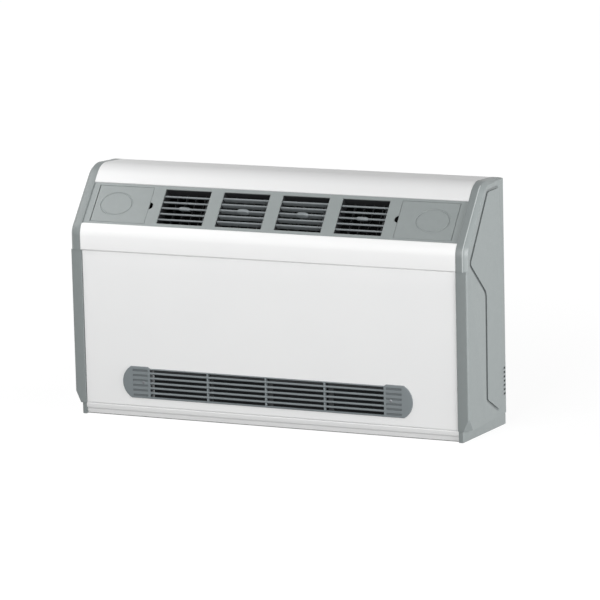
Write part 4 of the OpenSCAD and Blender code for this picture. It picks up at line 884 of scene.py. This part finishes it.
def tab_block():
    """Finger tab: a pad with a superelliptic outline, shrunk by a quarter circle towards both faces."""
    s, v = circle(48), np.sin(np.linspace(-math.pi / 2, math.pi / 2, 11))
    low, tip = -TAB_BACK, CHORD / 2 + TAB_REACH
    x, n = np.cos(s), np.sin(s)
    middle, half = np.array([0, (low + tip) / 2]), np.array([TAB_W / 2, (tip - low) / 2])
    outline = half * spread(np.sign(x) * np.abs(x) ** 0.6, np.sign(n) * np.abs(n) ** 0.7)
    shrink = 0.72 + 0.28 * np.sqrt(np.maximum(1 - v ** 2, 0))
    plan = middle + outline * shrink[:, None, None]
    return tube(with_depth(plan, (TAB_T / 2 * v)[:, None]))


def blade_blocks(with_tab):
    """The blade, its two pivots, its crank pin and, on the middle blade, the tab."""
    half = BLADE_L / 2
    tip = half + BLADE_GAP + FRAME_WALL - PIVOT_SHORT
    blocks = [blade_block(),
              rod_block(-tip, -half + PIVOT_ROOT, PIVOT_R), rod_block(half - PIVOT_ROOT, tip, PIVOT_R),
              rod_block(LINK_X - NOTCH - PIN_ROOT, LINK_X + NOTCH + PIN_ROOT, CRANK_R, -CRANK_THROW)]
    return blocks + ([tab_block()] if with_tab else [])


def tilted(block, angle, pivot):
    """A block of the blade's own frame (x, t, n), turned about X and moved to its pivot on the slope."""
    points, faces = block
    return from_slope(np.concatenate([points[:, :1], turned(points[:, 1:], angle)], -1) + pivot), faces


blades = []
for vent in range(1, VENTS + 1):
    angle = TILT_OUTER if vent in (1, VENTS) else TILT_INNER
    vent_x = (vent - (VENTS + 1) / 2) * VENT_PITCH
    for row in range(1, BLADES + 1):
        blade_t = DECK_MID + (row - (BLADES + 1) / 2) * VENT_L / (BLADES + 1)
        pivot = np.array([vent_x, blade_t, PIVOT_N])
        blocks = blade_blocks(2 * row == BLADES + 1)
        blade_mesh = mesh_from([tilted(block, angle, pivot) for block in blocks])
        blades.append(place(f"blade_{vent}_{row}", blade_mesh, f"louvre_{vent}_{row}", "louvre_grey"))
print("blades", len(blades), "of", len(blades[0].data.polygons), "faces")

# %% [markdown]
# ## Access doors
# A door is a thin plate with a barrel along its hinged edge. The plate's section with the barrel is
# carried up the slope, and the raised-looking oval is a shallow groove cut along an ellipse.

# %% Doors
DOOR_IN, DOOR_W, DOOR_L, DOOR_GAP, BARREL_R, HINGE_R = 314.0, 142.0, 97.0, 0.6, 2.7, 1.31
DECK_N, UNDER_N = -3.0, -6.0
HINGE_X, HINGE_N = DOOR_IN + DOOR_W - BARREL_R, DECK_N - BARREL_R
OVAL_X, OVAL_T, OVAL_W, OVAL_D, OVAL_MID, OVAL_PAST = 42.5, 31.5, 4.6, 1.6, 400.05, 2.0
EDGE_FLAT, DOOR_SHARP = 9.0, math.radians(28)


def door_mesh():
    """Section (x, n): inner edge, face, three quarters of the barrel, underside; carried up the slope."""
    meet = math.asin((UNDER_N - HINGE_N) / BARREL_R)
    barrel = arc([HINGE_X, HINGE_N], BARREL_R, math.pi / 2, -math.pi - meet, 26)
    inner = DOOR_IN + DOOR_GAP
    flat = inner + EDGE_FLAT
    edge = rounded([[flat, UNDER_N], [inner, UNDER_N], [inner, DECK_N], [flat, DECK_N]], [0, 0.4, 0.7, 0])
    loop = np.concatenate([edge, barrel])
    t = DECK_MID + (DOOR_L / 2 - DOOR_GAP) * np.array([-1, -0.992, -0.5, 0, 0.5, 0.992, 1])
    pull = np.array([0.25, 0, 0, 0, 0, 0, 0.25])
    middle = np.array([(DOOR_IN + HINGE_X) / 2, (DECK_N + UNDER_N) / 2])
    section = loop + np.sign(middle - loop) * [0.4, 1.0] * pull[:, None, None]
    return mesh_from([tube(with_depth(section, t[:, None]))])


def oval_cutter():
    """A half-round keel carried along the ellipse (OVAL_X cos a, OVAL_T sin a)."""
    a, b = circle(96), np.linspace(math.pi, 2 * math.pi, 9)
    out = unit(spread(np.cos(a) / OVAL_X, np.sin(a) / OVAL_T))
    ring = spread(OVAL_MID + OVAL_X * np.cos(a), DECK_MID + OVAL_T * np.sin(a))
    half, lid = OVAL_W / 2, DECK_N + OVAL_PAST
    bed = spread(half * np.cos(b), DECK_N + OVAL_D * np.sin(b))
    keel = np.concatenate([bed, [[half, lid], [-half, lid]]])
    plan = ring[:, None] + (keel[:, :1] - half) * out[:, None]
    grid = spread(plan[..., 0], plan[..., 1], keel[:, 1])
    return mesh_from([sheet(grid, wrap_rows=True, wrap_cols=True)])


def bore_cutter():
    """The hole for the hinge pin, longer than the door."""
    a, t = circle(24), DECK_MID + DOOR_L * np.array([-1.0, 1.0])
    bore = spread(HINGE_X + HINGE_R * np.cos(a), t[:, None], HINGE_N + HINGE_R * np.sin(a))
    return mesh_from([tube(bore)])


def slope_mesh(mesh, side):
    """Moves a mesh from the slope's frame to the cabinet's, mirrored to the left where side is -1."""
    flat = np.zeros(len(mesh.vertices) * 3, np.float32)
    mesh.vertices.foreach_get("co", flat)
    points = from_slope(flat.reshape(-1, 3).astype(float) / MM) * [side, 1, 1] * MM
    mesh.vertices.foreach_set("co", points.astype(np.float32).ravel())
    if side < 0:
        mesh.flip_normals()
    mesh.update()
    return mesh


def door(side, node):
    mesh = cut_from(cut_from(door_mesh(), oval_cutter()), bore_cutter())
    return place(f"{node}_plate", slope_mesh(mesh, side), node, "deck_grey", sharp=DOOR_SHARP)


doors = [door(1, "right_door"), door(-1, "left_door")]
print("doors", [len(d.data.polygons) for d in doors])

# %% [markdown]
# ## Inlet grille
# The grille is one moulding: a frame with bowed ends, five sloping slats and three ribs. The
# frame's face is a height field over a grid whose lines follow the slots, so the blind grooves are
# only a change of depth on some points.

# %% Grille frame
FACE_Y, SEAT_Y, WEB_BACK, COLLAR_BACK = PANEL_Y - 2.5, PANEL_Y - 0.1, PANEL_Y + 1, PANEL_Y + 9.5
COLLAR_T, COLLAR_GAP = 1.0, 0.2
FIELD_X, FIELD_Z, FIELD_H, SLOTS = 297.0, 84.6, 65.0, 6
SLAT_H, SLAT_D, SLAT_FALL, RIB_W, RIB_R, RIB_IN, LAP = 5.3, 9.0, 1.5, 4.0, 1.4, 0.4, 0.5
BLIND_X0, BLIND_X1, BLIND_HALF, BLIND_D, DRAFT = 303.0, 341.0, 2.3, 1.4, 0.3
FIELD_LOW, SLOT_PITCH = FIELD_Z - FIELD_H / 2, (FIELD_H + SLAT_H) / SLOTS
FIELD_HIGH = FIELD_LOW + FIELD_H
FLANGE_R, FLANGE_DIP = 1.3, 3.6


def grille_lines():
    """Heights of the grid's rows, which of them lie in a groove, and the columns of its right half, with
    a pair of lines at each groove's edge."""
    middles = FIELD_LOW - SLAT_H / 2 + (np.arange(SLOTS) + 0.5) * SLOT_PITCH
    edges = np.array([-1, -1, 1, 1]) * BLIND_HALF + np.array([-1, 1, -1, 1]) * DRAFT
    grooves = (middles[:, None] + edges).ravel()
    z = np.concatenate([[FIELD_LOW - FLANGE_R, FIELD_LOW], grooves, [FIELD_HIGH, FIELD_HIGH + FLANGE_R]])
    deep_z = np.concatenate([[False] * 2, np.tile([False, True, True, False], SLOTS), [False] * 2])
    drafts = np.array([-DRAFT, DRAFT])
    x = np.concatenate([[0, 100, 200, FIELD_X], BLIND_X0 + drafts, BLIND_X1 + drafts])
    return z, deep_z, x


def grille_plan(inset, low, high, dip=0.0):
    """Grid of (x, z): straight columns up to the grooves' end, then the bowed end, set in by inset. The
    lowest row lies at low and the top row at high, or lower by the dip over the slotted field."""
    z, _, x = grille_lines()
    height = np.repeat(z[:, None], len(x) + 1, 1)
    height[0], height[-1] = low, high
    height[-1, :-1] -= dip * (x <= FIELD_X)
    right = np.concatenate([np.broadcast_to(x, (len(z), len(x))), inlet_end(height[:, -1:], inset)], 1)
    both_x = np.concatenate([-right[:, :0:-1], right], 1)
    both_z = np.concatenate([height[:, :0:-1], height], 1)
    return spread(both_x, both_z)


def flange_plan(inset):
    """The part in front of the panel."""
    return grille_plan(inset, INLET_Z - INLET_H / 2 + inset, INLET_Z + INLET_H / 2 - inset, FLANGE_DIP)


def collar_plan(inset):
    """The part inside the panel's opening."""
    return grille_plan(OVERLAP + inset, OPEN_LOW + inset, OPEN_HIGH - inset)


def rim_of(grid):
    """The grid's outer points as one closed loop."""
    return np.concatenate([grid[0, :-1], grid[:-1, -1], grid[-1, :0:-1], grid[:0:-1, 0]])


def grille_frame():
    """Face with its blind grooves, back, the rim round both, and the throat of the slotted field."""
    z, deep_z, _ = grille_lines()
    front = flange_plan(FLANGE_R)
    line = front[0, :, 0]
    deep_x = (np.abs(line) > BLIND_X0) & (np.abs(line) < BLIND_X1)
    face = with_depth(front, FACE_Y + BLIND_D * (deep_z[:, None] & deep_x))
    row_mid, col_mid = (z[1:] + z[:-1]) / 2, (line[1:] + line[:-1]) / 2
    keep = ~((np.abs(row_mid - FIELD_Z) < FIELD_H / 2)[:, None] & (np.abs(col_mid) < FIELD_X))
    outer, inner = collar_plan(COLLAR_GAP), collar_plan(COLLAR_GAP + COLLAR_T)
    back = with_depth(inner, WEB_BACK)
    a = np.linspace(0, math.pi / 2, 6)
    plans = [flange_plan(d) for d in FLANGE_R * (1 - np.sin(a))]
    plans += [flange_plan(0), outer, outer, inner, inner]
    depths = [*(FACE_Y + FLANGE_R * (1 - np.cos(a))), SEAT_Y, SEAT_Y, COLLAR_BACK, COLLAR_BACK, WEB_BACK]
    loops = np.stack([rim_of(with_depth(plan, y)) for plan, y in zip(plans, depths)])
    cols = line[np.abs(line) <= FIELD_X]
    rows = z[(z >= FIELD_LOW) & (z <= FIELD_HIGH)]
    mouth = rim_of(spread(cols, rows[:, None]))
    throat = np.stack([with_depth(mouth, y) for y in (FACE_Y, WEB_BACK)])
    return [sheet(face, keep=keep), sheet(back, keep=keep),
            sheet(loops, wrap_cols=True), sheet(throat, wrap_cols=True)]


def slat_block(z):
    """Round nose in front, then a strip that thins and falls towards the inside."""
    r = SLAT_H / 2
    nose = arc([FACE_Y + r, z], r, math.pi / 2, 3 * math.pi / 2, 12)
    tail = [[FACE_Y + SLAT_D, z - r - SLAT_FALL], [FACE_Y + SLAT_D, z - SLAT_FALL]]
    loop = np.concatenate([nose, tail])
    return tube(carried(loop, np.linspace(-FIELD_X - LAP, FIELD_X + LAP, 9)))


def rib_block(x):
    """Upright bar with a round front."""
    left, right, front, back = x - RIB_W / 2, x + RIB_W / 2, FACE_Y + RIB_IN, FACE_Y + SLAT_D
    plan = rounded([[left, front], [right, front], [right, back], [left, back]], [RIB_R, RIB_R, 0, 0])
    return raised(plan, [FIELD_LOW - LAP, FIELD_HIGH + LAP])


slat_heights = FIELD_LOW - SLAT_H / 2 + np.arange(1, SLOTS) * SLOT_PITCH
grille_blocks = grille_frame() + [slat_block(z) for z in slat_heights]
grille_blocks += [rib_block(x) for x in FIELD_X / 2 * np.array([-1, 0, 1])]
grille_mesh = mesh_from([(points + [INLET_X, 0, 0], faces) for points, faces in grille_blocks])
# The beds of the blind grooves take a darker grey: painted shade.
across, deep, up = (face_middles(grille_mesh) - [INLET_X, FACE_Y, FIELD_Z]).T
blind = (np.abs(across) > BLIND_X0 - DRAFT) & (np.abs(across) < BLIND_X1 + DRAFT)
blind &= (deep > DRAFT) & (deep < BLIND_D + DRAFT) & (np.abs(up) < FIELD_H / 2)
mark(grille_mesh, "painted_shade_and_ink", blind)
place("inlet_grille_moulding", grille_mesh, "inlet_grille", "louvre_grey", "grille_grey")
print("grille", len(grille_mesh.polygons), "faces")

# %% Grille screws
SCREW_X, SCREW_R, SCREW_RISE, SCREW_SEAT = 314.0, 3.6, 0.9, 0.5
CROSS_HALF, CROSS_REACH, CROSS_D = 0.45, 0.62, 0.7


def screw_block(x):
    """A shallow dome: height SCREW_RISE (1 - (r / R)^2)^0.7, with a cross pressed into its middle."""
    r, a = np.linspace(0.02, 1, 12)[:, None], circle(64)
    px, pz = SCREW_R * r * np.cos(a), SCREW_R * r * np.sin(a)
    cross = (np.minimum(np.abs(px), np.abs(pz)) < CROSS_HALF) & (r < CROSS_REACH)
    rise = SCREW_RISE * (1 - r ** 2) ** 0.7 - CROSS_D * cross
    dome = spread(x + px, FACE_Y - rise, INLET_Z + pz)
    seat = dome[-1:] * [1, 0, 1] + [0, FACE_Y + SCREW_SEAT, 0]
    return tube(np.concatenate([dome, seat]))


screw_mesh = mesh_from([screw_block(INLET_X + x) for x in (-SCREW_X, SCREW_X)])
place("grille_screw_heads", screw_mesh, "grille_screws", "shaft_steel", "dark_screw")
print("screws", len(screw_mesh.polygons), "faces")

# %% [markdown]
# ## Coil fins
# The CAD model has a fin every 14 mm as a stand-in. Here the pack is dense: one thin plate with wavy
# long edges, repeated along X, with all plates in one mesh because they are all alike.

# %% Fin pack
FIN_PITCH, FIN_T, FIN_HALF, FIN_ROWS, FIN_LENGTH = 2.8, 0.3, 294.0, 22.0, 100.0
COIL_Y, COIL_Z, COIL_LEAN, WAVES, WAVE = 18.0, 336.0, math.radians(30), 8, 0.8


def fin_block(x):
    """A strip (y, z) whose long edges follow y = +-(FIN_ROWS - WAVE + WAVE cos), FIN_T thick along X."""
    z = np.linspace(-FIN_LENGTH, FIN_LENGTH, 2 * WAVES + 1)
    edge = FIN_ROWS - WAVE + WAVE * np.cos(math.pi * np.arange(len(z)))
    outline = np.concatenate([spread(edge, z), spread(-edge, z)[::-1]])
    section = turned(outline, COIL_LEAN) + [COIL_Y, COIL_Z]
    return tube(carried(section, [x - FIN_T / 2, x + FIN_T / 2]))


fin_mesh = mesh_from([fin_block(x) for x in np.arange(-FIN_HALF, FIN_HALF + FIN_T, FIN_PITCH)])
place("coil_fin_pack", fin_mesh, "coil_fins", "fin_aluminium", sharp=None)
print("fin pack", len(fin_mesh.polygons), "faces")

# %% [markdown]
# ## Everything else
# The deck, vent frames and inner parts already have the right shape in the CAD model, but as loose
# triangles with hard edges. A merged copy with its flat faces joined and a narrow bevel catches the
# light as a real edge does.

# %% Refined copies of the remaining nodes
FLAT, MERGE = math.radians(0.6), 5e-6
REMAINING = {
    "deck_grey": {"outlet_deck": 0.5},
    "vent_black": {"vent_frames": 0.3},
    "chassis_steel": {"chassis_back": 0.3, "left_gable": 0.3, "right_gable": 0.3, "coil_end_plates": 0.2,
                      "fan_deck": 0.3, "fan_housings": 0.3, "motor_bracket": 0.4},
    "shaft_steel": {"door_hinge_pins": 0.2, "fan_shaft": 0.5, "motor_bearings": 0.3},
    "tube_copper": {"coil_tubes": 0, "return_bends": 0, "coil_headers": 0.4},
    "valve_brass": {"bleed_valve": 0.3},
    "pan_plastic": {"drain_pan": 0.4},
    "fan_plastic": {"fan_wheels": 0},
    "motor_paint": {"motor_body": 0.6},
    "mount_rubber": {"motor_grommets": 0.6},
    "tray_plastic": {"control_tray": 0.4},
    "knob_plastic": {"speed_knob": 0.4, "thermostat_knob": 0.4},
    "filter_plastic": {"filter_frame": 0.4},
    "filter_cloth": {"filter_mesh": 0},
    "link_plastic": {f"louvre_link_{v}": 0.2 for v in range(1, VENTS + 1)},
}


def refined(node, slot, width):
    """Copies a node's mesh, merges its points, joins coplanar triangles and rounds the edges."""
    shape = bmesh.new()
    shape.from_mesh(frame["nodes"][node].data)
    bmesh.ops.remove_doubles(shape, verts=shape.verts, dist=MERGE)
    bmesh.ops.dissolve_limit(shape, angle_limit=FLAT, verts=shape.verts, edges=shape.edges, delimit=set())
    mesh = bpy.data.meshes.new(node)
    shape.to_mesh(mesh)
    shape.free()
    piece = place(f"{node}_finished", mesh, node, slot)
    if width:
        soften(piece, width)
    return piece


finished = {}
for slot, nodes in REMAINING.items():
    finished.update({node: refined(node, slot, width) for node, width in nodes.items()})
# The inner faces of back and gables are near black: painted shade of the closed cabinet.
SHADED_INSIDES = {"chassis_back": (0, -1, 0), "left_gable": (1, 0, 0), "right_gable": (-1, 0, 0)}
SHADED_INSIDE_COSINE = 0.9
for node, inwards in SHADED_INSIDES.items():
    shaded_inside = finished[node].data
    mark(shaded_inside, "painted_shade_and_ink", face_normals(shaded_inside) @ np.array(inwards) > SHADED_INSIDE_COSINE)
print("refined copies", len(finished))

# %% [markdown]
# ## Dial marks
# A knob says nothing without a scale. The tray's floor carries a raised bar for each setting: four
# speeds, and ten marks for the thermostat. One bar is a small block in the slope's frame, turned
# about the knob's axis. The ridge on a knob is its pointer, so its top is filled with dark paint.

# %% Marks round the knobs
DIAL_N, DIAL_R, DIAL_L, DIAL_W, DIAL_RISE = -28.0, 17.5, 4.0, 1.1, 0.3
POINTER_N = -18.5
DIALS = {"speed_knob": np.linspace(0, 120, 4), "thermostat_knob": np.linspace(-135, 135, 10)}


def box_block(low, high):
    """The eight corners and six faces of a box."""
    corners = np.stack(np.meshgrid(*zip(low, high), indexing="ij"), -1).reshape(-1, 3)
    return corners, [[0, 1, 3, 2], [4, 6, 7, 5], [0, 4, 5, 1], [2, 3, 7, 6], [0, 2, 6, 4], [1, 5, 7, 3]]


def dial_mark(axis_x, angle):
    """Bar from DIAL_R outwards, turned about (axis_x, DECK_MID) from straight up the slope."""
    half = DIAL_W / 2
    bar, faces = box_block((-half, DIAL_R, DIAL_N), (half, DIAL_R + DIAL_L, DIAL_N + DIAL_RISE))
    plan = turned(bar[:, :2], angle) + [axis_x, DECK_MID]
    return from_slope(np.concatenate([plan, bar[:, 2:]], -1)), faces


dial_blocks = []
for knob, settings in DIALS.items():
    low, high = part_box(knob)
    dial_blocks += [dial_mark((low[0] + high[0]) / 2 / MM, angle) for angle in np.radians(settings)]
    grip = finished[knob].data
    mark(grip, "painted_shade_and_ink", (face_middles(grip)[:, 1:] - KINK) @ OUT_OF_SLOPE > POINTER_N)
dial_mesh = mesh_from(dial_blocks)
place("control_dial_marks", dial_mesh, "control_tray", "knob_plastic", stands=False, sharp=None)
print("dial marks", len(dial_blocks))

# %% [markdown]
# ## Studio
# A pale floor, a large soft lamp in front and above, a second one on the right that lights the end
# cap, and a small one on the left that lifts the left end of the slope. The background is white to
# the camera and to reflections and dim to all other rays, so the lamps set the light.

# %% Floor, world and lamps
FLOOR_SIDE, FLOOR_FADE, AMBIENT, AIM = 40.0, (0.7, 2.6), 0.10, Vector((0, 0, 0.3))
FLOOR_GREY, FLOOR_SHADE, FLOOR_GLOW = (0.25, 0.25, 0.25, 1), (0.15, 0.15, 0.15, 1), (0.9, 0.9, 0.9)


def floor():
    """A wide quad; the camera sees it almost white with the object's shadow, and quite white further
    away, while other rays see grey."""
    mesh = bpy.data.meshes.new("floor")
    corners = np.array([[-1, -1, 0], [1, -1, 0], [1, 1, 0], [-1, 1, 0]]) * FLOOR_SIDE / 2
    mesh.from_pydata(corners.tolist(), [], [[0, 1, 2, 3]])
    ground = linked("floor", mesh)
    paint = Finish("floor_paint", Base_Color=FLOOR_GREY, Roughness=0.95, Specular_IOR_Level=0.0)
    away = paint.node("VectorMath", {0: paint.place}, "Value", operation="LENGTH")
    tint = paint.blend(paint.ramp(away, *FLOOR_FADE), FLOOR_GLOW, (1, 1, 1))
    glow = paint.node("Emission", {"Color": tint})
    soft = paint.node("BsdfDiffuse", {"Color": FLOOR_SHADE})
    both = paint.node("AddShader", {0: glow, 1: soft})
    plain = Tone(paint, paint.shader.outputs[0])
    mixed = paint.node("MixShader", {0: seen_directly(paint), 1: plain, 2: both})
    paint.fill(paint.tree.nodes["Material Output"].inputs["Surface"], mixed)
    mesh.materials.append(paint.material)


def seen_directly(paint):
    """1 for camera, glossy and transmitted rays, 0 for the rest."""
    path = paint.node("LightPath").socket.node.outputs
    rays = [Tone(paint, path[name]) for name in ("Is Camera Ray", "Is Glossy Ray", "Is Transmission Ray")]
    return rays[0].with_node("MAXIMUM", rays[1]).with_node("MAXIMUM", rays[2])


def studio_world(ambient):
    world = bpy.data.worlds.new("studio")
    world.use_nodes = True
    # Only the class's maker of nodes is used here, so its material is left out.
    air = Finish.__new__(Finish)
    air.tree = world.node_tree
    air.tree.nodes.clear()
    level = seen_directly(air) * (1 - ambient) + ambient
    light = air.node("Background", {"Color": (1, 1, 1, 1), "Strength": level})
    air.fill(air.tree.nodes.new("ShaderNodeOutputWorld").inputs["Surface"], light)
    bpy.context.scene.world = world


def lamp(name, towards, distance, side, power):
    """A square area lamp that stands in a direction from AIM and shines back at it."""
    light = bpy.data.lights.new(name, "AREA")
    light.shape, light.size, light.energy = "SQUARE", side, power
    item = linked(name, light)
    away = Vector(towards).normalized()
    item.location = AIM + away * distance
    item.rotation_euler = away.to_track_quat("Z", "Y").to_euler()


floor()
studio_world(AMBIENT)
lamp("front_lamp", (0.0, -0.9, 0.32), 4.0, 2.2, 106.0)
lamp("side_lamp", (1.0, -0.12, 0.10), 4.0, 2.0, 210.0)
lamp("left_lamp", (-0.75, -0.30, 0.65), 2.0, 1.0, 15.0)
bpy.context.scene.view_settings.view_transform = "Standard"
print("studio ready")

# %% Last update of the scene
bpy.context.view_layer.update()
